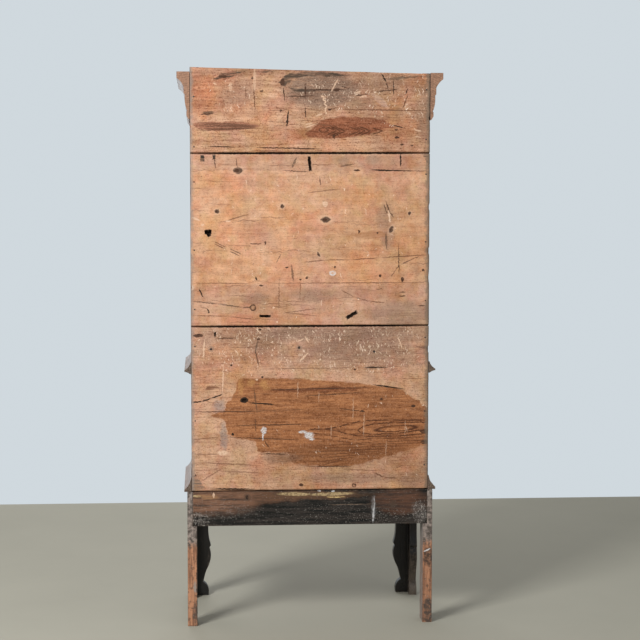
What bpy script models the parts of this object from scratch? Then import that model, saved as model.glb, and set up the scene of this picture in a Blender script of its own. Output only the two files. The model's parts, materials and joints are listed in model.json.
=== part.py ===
"""Cabinet on stand: a pine cupboard with two panelled doors over two drawers, on a stand with sawn legs.

Metres, +Z up, front towards -Y, origin on the floor under the middle of the bounding box.
Left and right are as seen from the front, so left is -X.
"""
import math

import bmesh
import bpy
from mathutils import Matrix, Vector

# Overall sizes
CARCASE_WIDTH = 0.796
CARCASE_DEPTH = 0.430
CARCASE_HEIGHT = 1.3935
STAND_HEIGHT = 0.4565
STAND_SIDE_STEP = 0.0148
STAND_FRONT_STEP = 0.011

# Fits between pieces
JOINT_GAP = 0.0003
EDGE_ROUND = 0.0012
HOUSING_DEPTH = 0.008
CUT_PAST = 0.004

# Carcase boards
SIDE_THICKNESS = 0.025
BACK_THICKNESS = 0.018
TOP_THICKNESS = 0.022
TOP_RECESS = 0.030
BOTTOM_THICKNESS = 0.022
WAIST_BOARD_THICKNESS = 0.022
DIVIDER_THICKNESS = 0.018
SHELF_THICKNESS = 0.020
SHELF_HEIGHT = 0.400
SHELF_SETBACK = 0.012
WAIST_HEIGHT = 0.4335

# Back boards: heights of each seam above the stand, and of the top edge above the cornice, at both ends
BACK_LIFT = 0.002
BACK_SEAM = 0.003
LOWER_SEAM_LEFT = 0.5550
LOWER_SEAM_RIGHT = 0.5540
UPPER_SEAM_LEFT = 1.1295
UPPER_SEAM_RIGHT = 1.1265
BACK_RISE_LEFT = -0.0015
BACK_RISE_RIGHT = 0.0165

# Mouldings
CORNICE_HEIGHT = 0.155
CORNICE_PROJECTION = 0.0425
WAIST_MOULDING_HEIGHT = 0.038
WAIST_MOULDING_PROJECTION = 0.022
BASE_MOULDING_HEIGHT = 0.047
BASE_MOULDING_PROJECTION = 0.0245
CURVE_STEPS = 6

# Doors
DOOR_THICKNESS = 0.024
DOOR_CLEARANCE = 0.0025
DOOR_SIDE_CLEARANCE = 0.0015
MEETING_GAP = 0.002
STILE_WIDTH = 0.062
STILE_ARC_STEPS = 12
TOP_RAIL_WIDTH = 0.068
BOTTOM_RAIL_WIDTH = 0.078
TONGUE_SHOULDER = 0.003
PANEL_EDGE = 0.008
PANEL_FIELD_RISE = 0.007
PANEL_BEVEL_WIDTH = 0.034
GROOVE_DEPTH = 0.010
PANEL_PLAY = 0.002
PIVOT_RADIUS = 0.004
PIVOT_IN_DOOR = 0.026
PIVOT_IN_CARCASE = 0.015

# Drawers
DRAWER_FRONT_THICKNESS = 0.022
DRAWER_SIDE_THICKNESS = 0.012
DRAWER_BOTTOM_THICKNESS = 0.008
DRAWER_BOTTOM_REBATE = 0.008
DRAWER_CLEARANCE = 0.0015
DRAWER_RUNNING_GAP = 0.0005
DRAWER_BACK_CLEARANCE = 0.017
DRAWER_SIDE_DROP = 0.016

# Knobs
KNOB_RADIUS = 0.0155
KNOB_REACH = 0.030
KNOB_NECK_RADIUS = 0.0075
KNOB_BASE_RADIUS = 0.0115
SPIGOT_RADIUS = 0.005
SPIGOT_LENGTH = 0.014
DRAWER_KNOB_SPREAD = 0.380
DOOR_KNOB_HEIGHT = 0.360
KNOB_STEPS = 20
KNOB_HEAD_STEPS = 8
ROUND_SIDES = 16

# Stand
BACK_LEG_WIDTH = 0.032
BACK_LEG_DEPTH = 0.066
BACK_RAIL_HEIGHT = 0.1165
BACK_RAIL_THICKNESS = 0.022
BACK_RAIL_LAP = 0.014
LEG_FACE_THICKNESS = 0.028
LEG_SIDE_THICKNESS = 0.026
LEG_TOP_REACH = 0.0708
RAIL_THICKNESS = 0.022
RAIL_SETBACK = 0.003
TENON_THICKNESS = 0.010
TENON_LENGTH = 0.022
TENON_HEIGHT = 0.060
TENON_DROP = 0.024
APRON_EDGE = 0.120
APRON_CUSP = 0.117
APRON_DROP = 0.150
APRON_BRACKET = 0.184
APRON_BRACKET_LENGTH = 0.062
RAIL_EDGE = 0.116
RAIL_FRONT_BRACKET = 0.182
RAIL_FRONT_BRACKET_LENGTH = 0.055
RAIL_BACK_BRACKET = 0.160
RAIL_BACK_BRACKET_LENGTH = 0.080
SCROLL_RESOLUTION = 5

# Sawn edge of the front leg: reach in from the outer edge, height above the floor, corner style
LEG_SCROLL = (
    (0.0710, 0.000, "VECTOR"),
    (0.0715, 0.020, "AUTO"),
    (0.0640, 0.039, "AUTO"),
    (0.0523, 0.050, "VECTOR"),
    (0.0618, 0.087, "AUTO"),
    (0.0743, 0.116, "AUTO"),
    (0.0801, 0.145, "AUTO"),
    (0.0775, 0.166, "AUTO"),
    (0.0745, 0.175, "VECTOR"),
    (0.0801, 0.183, "VECTOR"),
    (0.0728, 0.215, "AUTO"),
    (LEG_TOP_REACH, 0.255, "VECTOR"),
)

# Levels and faces that follow from the sizes
HALF_WIDTH = CARCASE_WIDTH / 2
INNER_HALF = HALF_WIDTH - SIDE_THICKNESS
HOUSED_HALF = INNER_HALF + HOUSING_DEPTH
BACK_Y = (CARCASE_DEPTH + CORNICE_PROJECTION) / 2
FRONT_Y = BACK_Y - CARCASE_DEPTH
BACK_INNER_Y = BACK_Y - BACK_THICKNESS
BOARD_BACK_Y = BACK_INNER_Y - JOINT_GAP
CORNICE_TOP_Z = STAND_HEIGHT + CARCASE_HEIGHT
CORNICE_BOTTOM_Z = CORNICE_TOP_Z - CORNICE_HEIGHT
TOP_UPPER_Z = CORNICE_TOP_Z - TOP_RECESS
WAIST_TOP_Z = STAND_HEIGHT + WAIST_HEIGHT
WAIST_MOULDING_Z = WAIST_TOP_Z - WAIST_MOULDING_HEIGHT
BASE_MOULDING_Z = STAND_HEIGHT + 2 * JOINT_GAP
BOTTOM_TOP_Z = BASE_MOULDING_Z + BASE_MOULDING_HEIGHT
DIVIDER_TOP_Z = (BOTTOM_TOP_Z + WAIST_MOULDING_Z + DIVIDER_THICKNESS) / 2
DIVIDER_LOWER_Z = DIVIDER_TOP_Z - DIVIDER_THICKNESS
SHELF_TOP_Z = WAIST_TOP_Z + SHELF_HEIGHT
DOOR_LOWER_Z = WAIST_TOP_Z + DOOR_CLEARANCE
DOOR_UPPER_Z = CORNICE_BOTTOM_Z - DOOR_CLEARANCE
DOOR_BACK_Y = FRONT_Y + DOOR_THICKNESS
DOOR_AXIS_X = INNER_HALF - DOOR_SIDE_CLEARANCE - DOOR_THICKNESS / 2
DOOR_AXIS_Y = FRONT_Y + DOOR_THICKNESS / 2
HINGE_STILE_X = DOOR_AXIS_X + DOOR_THICKNESS / 2 - STILE_WIDTH
MEETING_STILE_X = MEETING_GAP / 2 + STILE_WIDTH
DOOR_KNOB_X = MEETING_GAP / 2 + STILE_WIDTH / 2
DOOR_KNOB_Z = WAIST_TOP_Z + DOOR_KNOB_HEIGHT
GROOVE_HALF = PANEL_EDGE / 2 + JOINT_GAP
PIVOT_HOLE_RADIUS = PIVOT_RADIUS + JOINT_GAP
STAND_HALF = HALF_WIDTH + STAND_SIDE_STEP
STAND_FRONT_Y = FRONT_Y - STAND_FRONT_STEP
BACK_LEG_FRONT_Y = BACK_Y - BACK_LEG_DEPTH
LEG_INNER_X = STAND_HALF - LEG_TOP_REACH
LEG_REAR_Y = STAND_FRONT_Y + LEG_TOP_REACH
APRON_Y = STAND_FRONT_Y + RAIL_SETBACK + RAIL_THICKNESS / 2
SIDE_RAIL_X = STAND_HALF - RAIL_SETBACK - RAIL_THICKNESS / 2
TENON_TOP_Z = STAND_HEIGHT - TENON_DROP
TENON_LOWER_Z = TENON_TOP_Z - TENON_HEIGHT
SIDES = ((-1, "left"), (1, "right"))

for leftover in list(bpy.data.objects):
    bpy.data.objects.remove(leftover, do_unlink=True)

parts = bpy.data.collections.new("cabinet_on_stand")
bpy.context.scene.collection.children.link(parts)
cutters = bpy.data.collections.new("cutters")
bpy.context.scene.collection.children.link(cutters)


def material(name, colour, roughness, metallic=0.0):
    """A plain Principled material."""
    made = bpy.data.materials.new(name)
    made.use_nodes = True
    shader = made.node_tree.nodes["Principled BSDF"]
    shader.inputs["Base Color"].default_value = (*colour, 1.0)
    shader.inputs["Roughness"].default_value = roughness
    shader.inputs["Metallic"].default_value = metallic
    return made


RAW_PINE = material("raw_pine", (0.45, 0.25, 0.13), 0.75)
STAINED_PINE = material("stained_pine", (0.19, 0.075, 0.045), 0.55)
STAND_DARK = material("stand_dark", (0.055, 0.028, 0.018), 0.6)
LEG_BROWN = material("leg_brown", (0.24, 0.105, 0.055), 0.65)
LEG_BLACK = material("leg_black", (0.022, 0.014, 0.011), 0.55)
INNER_PINE = material("inner_pine", (0.52, 0.33, 0.17), 0.7)
IRON = material("iron", (0.09, 0.08, 0.075), 0.5, 1.0)
KNOB_WOOD = material("knob_wood", (0.12, 0.05, 0.03), 0.45)


def add(name, mesh, finish, parent=None):
    """Link a mesh as a named piece."""
    made = bpy.data.objects.new(name, mesh)
    mesh.materials.append(finish)
    parts.objects.link(made)
    made.parent = parent
    return made


def place(piece, spot):
    """Set a piece's world position, with or without a parent on its joint axis."""
    offset = piece.parent.location if piece.parent is not None else Vector((0, 0, 0))
    piece.location = Vector(spot) - offset


def mesh_from(name, shape):
    """Turn a bmesh into a mesh with outward faces."""
    bmesh.ops.recalc_face_normals(shape, faces=shape.faces)
    mesh = bpy.data.meshes.new(name)
    shape.to_mesh(mesh)
    shape.free()
    return mesh


def corners(first, second):
    """Lowest and highest corner of the block between two opposite corners."""
    low = Vector([min(pair) for pair in zip(first, second)])
    high = Vector([max(pair) for pair in zip(first, second)])
    return low, high


def add_block(shape, first, second):
    """Add a block between two opposite corners to a bmesh."""
    low, high = corners(first, second)
    spot = Matrix.Translation((low + high) / 2) @ Matrix.Diagonal((*(high - low), 1.0))
    bmesh.ops.create_cube(shape, size=1.0, matrix=spot)


def add_bar(shape, first, second, radius):
    """Add a round bar between two points to a bmesh."""
    along = Vector(second) - Vector(first)
    turn = Vector((0, 0, 1)).rotation_difference(along).to_matrix().to_4x4()
    spot = Matrix.Translation((Vector(first) + Vector(second)) / 2) @ turn
    bmesh.ops.create_cone(shape, cap_ends=True, segments=ROUND_SIDES, radius1=radius, radius2=radius,
                          depth=along.length, matrix=spot)


def board(name, first, second, finish, parent=None, rounded=True):
    """A sawn board between two opposite corners."""
    low, high = corners(first, second)
    middle = (low + high) / 2
    shape = bmesh.new()
    add_block(shape, low - middle, high - middle)
    piece = add(name, mesh_from(name, shape), finish, parent)
    place(piece, middle)
    if rounded:
        bevel = piece.modifiers.new("softened_edges", "BEVEL")
        bevel.width = EDGE_ROUND
        bevel.segments = 1
        bevel.limit_method = "ANGLE"
        bevel.angle_limit = math.radians(40)
    return piece


def combine(piece, operation, label, blocks, bars=()):
    """Cut blocks and round bars out of a piece, or add them to it."""
    shape = bmesh.new()
    for first, second in blocks:
        add_block(shape, first, second)
    for first, second, radius in bars:
        add_bar(shape, first, second, radius)
    tool = bpy.data.objects.new(piece.name + "_" + label, mesh_from(piece.name + "_" + label, shape))
    tool.hide_render = True
    tool.display_type = "WIRE"
    cutters.objects.link(tool)
    step = piece.modifiers.new(label, "BOOLEAN")
    step.operation = operation
    step.solver = "EXACT"
    step.object = tool


def plate(name, knots, thickness, finish, parent=None, resolution=SCROLL_RESOLUTION):
    """A flat sawn board from a closed outline of curve knots, in its own XY plane."""
    curve = bpy.data.curves.new(name + "_outline", "CURVE")
    curve.dimensions = "2D"
    curve.fill_mode = "BOTH"
    curve.extrude = thickness / 2
    curve.resolution_u = resolution
    line = curve.splines.new("BEZIER")
    line.bezier_points.add(len(knots) - 1)
    line.use_cyclic_u = True
    for point, (x, y, style) in zip(line.bezier_points, knots):
        point.co = (x, y, 0.0)
        point.handle_left_type = style
        point.handle_right_type = style
    drawn = bpy.data.objects.new(name + "_outline", curve)
    cutters.objects.link(drawn)
    bpy.context.view_layer.update()
    evaluated = drawn.evaluated_get(bpy.context.evaluated_depsgraph_get())
    sawn = bpy.data.meshes.new_from_object(evaluated)
    shape = bmesh.new()
    shape.from_mesh(sawn)
    bmesh.ops.remove_doubles(shape, verts=shape.verts, dist=1e-6)
    bpy.data.objects.remove(drawn, do_unlink=True)
    bpy.data.curves.remove(curve)
    bpy.data.meshes.remove(sawn)
    return add(name, mesh_from(name, shape), finish, parent)


def face_front(piece, spot):
    """Stand a plate's outline in the front plane."""
    piece.rotation_euler = (math.pi / 2, 0.0, 0.0)
    piece.location = spot


def face_side(piece, spot):
    """Stand a plate's outline in the side plane, its X running to the back."""
    piece.rotation_euler = (math.pi / 2, 0.0, math.pi / 2)
    piece.location = spot


def axis_empty(name, spot):
    """An empty on a joint's axis that carries a moving assembly."""
    made = bpy.data.objects.new(name, None)
    made.location = spot
    parts.objects.link(made)
    return made


def tenon(x_first, x_second, y_first, y_second, fit=0.0):
    """A block at tenon height, or its mortise with a fitting gap all round."""
    low, high = corners((x_first, y_first, TENON_LOWER_Z), (x_second, y_second, TENON_TOP_Z))
    spare = Vector((fit, fit, fit))
    return low - spare, high + spare


def build_back_leg(side, name):
    """A straight leg with a rebate for the back rail and a mortise for the side rail."""
    inner = side * (STAND_HALF - BACK_LEG_WIDTH)
    leg = board("back_leg_" + name, (side * STAND_HALF, BACK_LEG_FRONT_Y, 0.0),
                (inner, BACK_Y, STAND_HEIGHT), LEG_BROWN)
    rebate = ((inner - side * CUT_PAST, BACK_Y - BACK_RAIL_THICKNESS - JOINT_GAP,
               STAND_HEIGHT - BACK_RAIL_HEIGHT - JOINT_GAP),
              (inner + side * (BACK_RAIL_LAP + JOINT_GAP), BACK_Y + CUT_PAST, STAND_HEIGHT + CUT_PAST))
    middle = side * SIDE_RAIL_X
    mortise = tenon(middle - TENON_THICKNESS / 2, middle + TENON_THICKNESS / 2,
                    BACK_LEG_FRONT_Y - CUT_PAST, BACK_LEG_FRONT_Y + TENON_LENGTH, JOINT_GAP)
    combine(leg, "DIFFERENCE", "joints", [rebate, mortise])


def build_back_rail():
    """The rail let in flush behind the back legs."""
    half = STAND_HALF - BACK_LEG_WIDTH + BACK_RAIL_LAP
    board("stand_back_rail", (-half, BACK_Y - BACK_RAIL_THICKNESS, STAND_HEIGHT - BACK_RAIL_HEIGHT),
          (half, BACK_Y, STAND_HEIGHT), STAND_DARK)


def build_front_leg(side, name):
    """A sawn face board with a sawn side board behind it, mortised for the apron and the side rail."""
    outline = [(-side * reach, height, style) for reach, height, style in LEG_SCROLL]
    outline += [(-side * LEG_TOP_REACH, STAND_HEIGHT, "VECTOR"), (0.0, STAND_HEIGHT, "VECTOR"),
                (0.0, 0.0, "VECTOR")]
    face = plate("front_leg_face_" + name, outline, LEG_FACE_THICKNESS, LEG_BLACK)
    face_front(face, (side * STAND_HALF, STAND_FRONT_Y + LEG_FACE_THICKNESS / 2, 0.0))
    mortise = tenon(side * (LEG_INNER_X - CUT_PAST), side * (LEG_INNER_X + TENON_LENGTH),
                    APRON_Y - TENON_THICKNESS / 2, APRON_Y + TENON_THICKNESS / 2, JOINT_GAP)
    combine(face, "DIFFERENCE", "mortise", [mortise])

    start = LEG_FACE_THICKNESS + JOINT_GAP
    outline = list(LEG_SCROLL)
    outline += [(LEG_TOP_REACH, STAND_HEIGHT, "VECTOR"), (start, STAND_HEIGHT, "VECTOR"),
                (start, 0.0, "VECTOR")]
    rear = plate("front_leg_side_" + name, outline, LEG_SIDE_THICKNESS, LEG_BLACK)
    face_side(rear, (side * (STAND_HALF - LEG_SIDE_THICKNESS / 2), STAND_FRONT_Y, 0.0))
    middle = side * SIDE_RAIL_X
    mortise = tenon(middle - TENON_THICKNESS / 2, middle + TENON_THICKNESS / 2,
                    LEG_REAR_Y - TENON_LENGTH, LEG_REAR_Y + CUT_PAST, JOINT_GAP)
    combine(rear, "DIFFERENCE", "mortise", [mortise])


def build_front_apron():
    """The scalloped apron, tenoned into the leg face boards."""
    half = LEG_INNER_X - JOINT_GAP
    lobe = APRON_EDGE + (APRON_DROP - APRON_EDGE) * 0.55
    outline = [
        (half, 0.0, "VECTOR"),
        (half, -APRON_BRACKET, "VECTOR"),
        (half - APRON_BRACKET_LENGTH * 0.30, -(APRON_EDGE + APRON_BRACKET) / 2, "AUTO"),
        (half - APRON_BRACKET_LENGTH, -APRON_EDGE, "VECTOR"),
        (half * 0.66, -lobe, "AUTO"),
        (half * 0.42, -APRON_CUSP, "VECTOR"),
        (half * 0.20, -(APRON_EDGE + APRON_DROP) / 2, "AUTO"),
    ]
    mirrored = [(-x, z, style) for x, z, style in reversed(outline)]
    apron = plate("stand_front_apron", outline + [(0.0, -APRON_DROP, "AUTO")] + mirrored,
                  RAIL_THICKNESS, STAND_DARK)
    face_front(apron, (0.0, APRON_Y, STAND_HEIGHT))
    reach = half + TENON_LENGTH
    tongue = tenon(-reach, reach, APRON_Y - TENON_THICKNESS / 2, APRON_Y + TENON_THICKNESS / 2)
    combine(apron, "UNION", "tenons", [tongue])


def build_side_rail(side, name):
    """A side rail with curved brackets, tenoned into the legs front and back."""
    front = LEG_REAR_Y + JOINT_GAP
    back = BACK_LEG_FRONT_Y - JOINT_GAP
    length = back - front
    back_curve = RAIL_EDGE + (RAIL_BACK_BRACKET - RAIL_EDGE) * 0.42
    outline = [
        (0.0, 0.0, "VECTOR"),
        (0.0, -RAIL_FRONT_BRACKET, "VECTOR"),
        (RAIL_FRONT_BRACKET_LENGTH * 0.30, -(RAIL_EDGE + RAIL_FRONT_BRACKET) / 2, "AUTO"),
        (RAIL_FRONT_BRACKET_LENGTH, -RAIL_EDGE, "VECTOR"),
        (length - RAIL_BACK_BRACKET_LENGTH, -RAIL_EDGE, "VECTOR"),
        (length - RAIL_BACK_BRACKET_LENGTH * 0.30, -back_curve, "AUTO"),
        (length, -RAIL_BACK_BRACKET, "VECTOR"),
        (length, 0.0, "VECTOR"),
    ]
    rail = plate("stand_side_rail_" + name, outline, RAIL_THICKNESS, STAND_DARK)
    middle = side * SIDE_RAIL_X
    face_side(rail, (middle, front, STAND_HEIGHT))
    tongue = tenon(middle - TENON_THICKNESS / 2, middle + TENON_THICKNESS / 2,
                   front - TENON_LENGTH, back + TENON_LENGTH)
    combine(rail, "UNION", "tenons", [tongue])


def build_carcase():
    """Sides with housings, the boards that run between them, and the frieze rail."""
    shelf_front = DOOR_BACK_Y + SHELF_SETBACK
    top_front = DOOR_BACK_Y + JOINT_GAP
    housed = (
        ("cabinet_bottom", FRONT_Y, BOTTOM_TOP_Z, BOTTOM_THICKNESS),
        ("drawer_divider", FRONT_Y, DIVIDER_TOP_Z, DIVIDER_THICKNESS),
        ("waist_board", FRONT_Y, WAIST_TOP_Z, WAIST_BOARD_THICKNESS),
        ("cupboard_shelf", shelf_front, SHELF_TOP_Z, SHELF_THICKNESS),
        ("cabinet_top", top_front, TOP_UPPER_Z, TOP_THICKNESS),
    )
    boards = {}
    for name, front, top, thickness in housed:
        boards[name] = board(name, (-HOUSED_HALF, front, top - thickness),
                             (HOUSED_HALF, BOARD_BACK_Y, top), INNER_PINE)
    for side, name in SIDES:
        piece = board("cabinet_side_" + name, (side * HALF_WIDTH, FRONT_Y, STAND_HEIGHT + JOINT_GAP),
                      (side * INNER_HALF, BOARD_BACK_Y, CORNICE_TOP_Z), STAINED_PINE)
        housings = []
        for label, front, top, thickness in housed:
            past = CUT_PAST if front == FRONT_Y else JOINT_GAP
            housings.append(((side * (INNER_HALF - CUT_PAST), front - past, top - thickness - JOINT_GAP),
                             (side * (HOUSED_HALF + JOINT_GAP), BOARD_BACK_Y + CUT_PAST, top + JOINT_GAP)))
        combine(piece, "DIFFERENCE", "housings", housings)
    frieze = board("frieze_rail", (JOINT_GAP - INNER_HALF, FRONT_Y, CORNICE_BOTTOM_Z),
                   (INNER_HALF - JOINT_GAP, DOOR_BACK_Y, TOP_UPPER_Z), STAINED_PINE)
    combine(boards["waist_board"], "DIFFERENCE", "pivot_holes", [], pivot_holes(WAIST_TOP_Z, -1))
    combine(frieze, "DIFFERENCE", "pivot_holes", [], pivot_holes(CORNICE_BOTTOM_Z, 1))


def pivot_holes(level, way):
    """Holes for both door pivots, from a face of the carcase at a level, up or down into the wood."""
    bars = []
    for side, name in SIDES:
        bars.append(((side * DOOR_AXIS_X, DOOR_AXIS_Y, level - way * CUT_PAST),
                     (side * DOOR_AXIS_X, DOOR_AXIS_Y, level + way * (PIVOT_IN_CARCASE + JOINT_GAP)),
                     PIVOT_HOLE_RADIUS))
    return bars


def build_back_boards():
    """Boards laid across the full width and nailed to the sides; seams and top edge run uneven."""
    half_seam = BACK_SEAM / 2
    rows = (
        ("back_board_bottom", BACK_LIFT, BACK_LIFT,
         LOWER_SEAM_LEFT - half_seam, LOWER_SEAM_RIGHT - half_seam),
        ("back_board_middle", LOWER_SEAM_LEFT + half_seam, LOWER_SEAM_RIGHT + half_seam,
         UPPER_SEAM_LEFT - half_seam, UPPER_SEAM_RIGHT - half_seam),
        ("back_board_top", UPPER_SEAM_LEFT + half_seam, UPPER_SEAM_RIGHT + half_seam,
         CARCASE_HEIGHT + BACK_RISE_LEFT, CARCASE_HEIGHT + BACK_RISE_RIGHT),
    )
    for name, low_left, low_right, high_left, high_right in rows:
        piece = board(name, (-HALF_WIDTH, BACK_INNER_Y, STAND_HEIGHT + low_left),
                      (HALF_WIDTH, BACK_Y, STAND_HEIGHT + high_left), RAW_PINE)
        for vert in piece.data.vertices:
            if vert.co.x > 0:
                vert.co.z += low_right - low_left if vert.co.z < 0 else high_right - high_left


def swept(start, end, bulge):
    """Points after the start of a shallow curve; a positive bulge swells outwards."""
    along = Vector(end) - Vector(start)
    out = Vector((-along.y, along.x)).normalized()
    points = []
    for step in range(1, CURVE_STEPS + 1):
        t = step / CURVE_STEPS
        points.append(tuple(Vector(start) + along * t + out * (bulge * 4 * t * (1 - t))))
    return points


def cornice_profile():
    """Reach and height: fascia, hollow, flat, swelling curve and bead, from the top down."""
    reach = CORNICE_PROJECTION
    drop = CORNICE_HEIGHT
    line = [(0.0, drop), (reach, drop), (reach, drop * 0.865)]
    line += swept(line[-1], (reach * 0.46, drop * 0.685), -reach * 0.06)
    line += [(reach * 0.46, drop * 0.545), (reach * 0.37, drop * 0.515)]
    line += swept(line[-1], (reach * 0.19, drop * 0.175), reach * 0.08)
    line += [(reach * 0.25, drop * 0.165), (reach * 0.25, drop * 0.075)]
    line += [(reach * 0.09, 0.0), (0.0, 0.0)]
    return line


def waist_profile():
    """Reach and height of the hollow-topped waist moulding."""
    reach = WAIST_MOULDING_PROJECTION
    drop = WAIST_MOULDING_HEIGHT
    line = [(0.0, drop), (reach * 0.10, drop)]
    line += swept(line[-1], (reach * 0.90, drop * 0.40), -reach * 0.13)
    line += [(reach, drop * 0.36), (reach, drop * 0.23)]
    line += swept(line[-1], (reach * 0.10, 0.0), -reach * 0.07)
    line += [(0.0, 0.0)]
    return line


def base_profile():
    """Reach and height of the hollow base moulding."""
    reach = BASE_MOULDING_PROJECTION
    drop = BASE_MOULDING_HEIGHT
    line = [(0.0, drop), (reach * 0.08, drop)]
    line += swept(line[-1], (reach * 0.94, drop * 0.19), -reach * 0.18)
    line += [(reach, drop * 0.165), (reach, 0.0), (0.0, 0.0)]
    return line


def moulding(name, profile, level, finish, side=0):
    """A profile run along the front with both ends mitred, or along a side from the back to its mitre."""
    shape = bmesh.new()
    ring = []
    for reach, height in profile:
        if side == 0:
            spot = (-HALF_WIDTH - reach, FRONT_Y - JOINT_GAP - reach, level + height)
        else:
            spot = (side * (HALF_WIDTH + JOINT_GAP + reach), BACK_Y, level + height)
        ring.append(shape.verts.new(spot))
    run = bmesh.ops.extrude_face_region(shape, geom=[shape.faces.new(ring)])
    for vert in run["geom"]:
        if not isinstance(vert, bmesh.types.BMVert):
            continue
        if side == 0:
            vert.co.x = -vert.co.x
        else:
            vert.co.y = FRONT_Y + HALF_WIDTH + 2 * JOINT_GAP - abs(vert.co.x)
    add(name, mesh_from(name, shape), finish)


def build_mouldings():
    """Cornice, waist and base mouldings, each in a front run and two side returns."""
    for label, profile, level in (
        ("cornice", cornice_profile(), CORNICE_BOTTOM_Z),
        ("waist_moulding", waist_profile(), WAIST_MOULDING_Z),
        ("base_moulding", base_profile(), BASE_MOULDING_Z),
    ):
        moulding(label + "_front", profile, level, STAINED_PINE)
        for side, name in SIDES:
            moulding(label + "_" + name, profile, level, STAINED_PINE, side)


def spigot_hole(x, z):
    """The round hole that takes a knob's spigot."""
    mouth = (x, FRONT_Y - CUT_PAST, z)
    end = (x, FRONT_Y + SPIGOT_LENGTH + JOINT_GAP, z)
    return mouth, end, SPIGOT_RADIUS + JOINT_GAP


def build_knob(name, x, z, parent):
    """A turned knob on the front plane, its spigot in a hole in the wood behind."""
    line = [(0.0, KNOB_REACH)]
    for step in range(1, KNOB_HEAD_STEPS):
        angle = math.pi * step / KNOB_HEAD_STEPS
        grow = KNOB_NECK_RADIUS * 0.4 + math.sin(angle) * (KNOB_RADIUS - KNOB_NECK_RADIUS * 0.4)
        line.append((grow, KNOB_REACH * (0.69 + 0.31 * math.cos(angle))))
    line += [
        (KNOB_NECK_RADIUS, KNOB_REACH * 0.34), (KNOB_NECK_RADIUS, KNOB_REACH * 0.20),
        (KNOB_BASE_RADIUS, KNOB_REACH * 0.10), (KNOB_BASE_RADIUS, 0.0),
        (SPIGOT_RADIUS, 0.0), (SPIGOT_RADIUS, -SPIGOT_LENGTH), (0.0, -SPIGOT_LENGTH),
    ]
    shape = bmesh.new()
    chain = [shape.verts.new((radius, 0.0, height)) for radius, height in line]
    for first, second in zip(chain, chain[1:]):
        shape.edges.new((first, second))
    mesh = bpy.data.meshes.new(name)
    shape.to_mesh(mesh)
    shape.free()
    piece = add(name, mesh, KNOB_WOOD, parent)
    lathe = piece.modifiers.new("lathe", "SCREW")
    lathe.steps = KNOB_STEPS
    lathe.render_steps = KNOB_STEPS
    lathe.use_merge_vertices = True
    lathe.merge_threshold = 1e-6
    lathe.use_smooth_shade = True
    piece.rotation_euler = (math.pi / 2, 0.0, 0.0)
    place(piece, (x, FRONT_Y - JOINT_GAP, z))


def build_hinge_stile(side, label, axis):
    """The stile that turns on the pins: a round outer edge, a groove for the panel and a hole at each end."""
    half = DOOR_THICKNESS / 2
    inner = side * (HINGE_STILE_X - DOOR_AXIS_X)
    knots = [(inner, -half, "VECTOR"), (inner, half, "VECTOR")]
    for step in range(STILE_ARC_STEPS + 1):
        turn = math.pi / 2 - math.pi * step / STILE_ARC_STEPS
        knots.append((side * half * math.cos(turn), half * math.sin(turn), "VECTOR"))
    height = DOOR_UPPER_Z - DOOR_LOWER_Z
    stile = plate(label + "_hinge_stile", knots, height, STAINED_PINE, axis, 1)
    place(stile, (side * DOOR_AXIS_X, DOOR_AXIS_Y, DOOR_LOWER_Z + height / 2))
    groove = ((side * (HINGE_STILE_X - CUT_PAST), DOOR_AXIS_Y - GROOVE_HALF, DOOR_LOWER_Z - CUT_PAST),
              (side * (HINGE_STILE_X + GROOVE_DEPTH), DOOR_AXIS_Y + GROOVE_HALF, DOOR_UPPER_Z + CUT_PAST))
    holes = []
    for level, way in ((DOOR_LOWER_Z, 1), (DOOR_UPPER_Z, -1)):
        holes.append(((side * DOOR_AXIS_X, DOOR_AXIS_Y, level - way * CUT_PAST),
                      (side * DOOR_AXIS_X, DOOR_AXIS_Y, level + way * (PIVOT_IN_DOOR + JOINT_GAP)),
                      PIVOT_HOLE_RADIUS))
    combine(stile, "DIFFERENCE", "groove_and_pivots", [groove], holes)


def build_meeting_stile(side, label, axis):
    """The stile at the middle of the cabinet; the right-hand one carries the door knob."""
    stile = board(label + "_meeting_stile", (side * MEETING_GAP / 2, FRONT_Y, DOOR_LOWER_Z),
                  (side * MEETING_STILE_X, DOOR_BACK_Y, DOOR_UPPER_Z), STAINED_PINE, axis)
    groove = ((side * (MEETING_STILE_X + CUT_PAST), DOOR_AXIS_Y - GROOVE_HALF, DOOR_LOWER_Z - CUT_PAST),
              (side * (MEETING_STILE_X - GROOVE_DEPTH), DOOR_AXIS_Y + GROOVE_HALF, DOOR_UPPER_Z + CUT_PAST))
    holes = []
    if side > 0:
        holes.append(spigot_hole(DOOR_KNOB_X, DOOR_KNOB_Z))
        build_knob("door_knob", DOOR_KNOB_X, DOOR_KNOB_Z, axis)
    combine(stile, "DIFFERENCE", "groove", [groove], holes)


def build_door_rail(side, name, axis, outer_z, width, inward):
    """A rail with a tongue in each stile's groove and a groove of its own for the panel."""
    near = side * (MEETING_STILE_X + JOINT_GAP)
    far = side * (HINGE_STILE_X - JOINT_GAP)
    inner_z = outer_z + inward * width
    groove_z = inner_z - inward * GROOVE_DEPTH
    rail = board(name, (near, FRONT_Y, outer_z), (far, DOOR_BACK_Y, inner_z), STAINED_PINE, axis)
    reach = side * (GROOVE_DEPTH - JOINT_GAP)
    tongue = ((near - reach, DOOR_AXIS_Y - PANEL_EDGE / 2, outer_z + inward * TONGUE_SHOULDER),
              (far + reach, DOOR_AXIS_Y + PANEL_EDGE / 2, groove_z - inward * TONGUE_SHOULDER))
    combine(rail, "UNION", "tongues", [tongue])
    groove = ((near - side * CUT_PAST, DOOR_AXIS_Y - GROOVE_HALF, groove_z),
              (far + side * CUT_PAST, DOOR_AXIS_Y + GROOVE_HALF, inner_z + inward * CUT_PAST))
    combine(rail, "DIFFERENCE", "groove", [groove])


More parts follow.
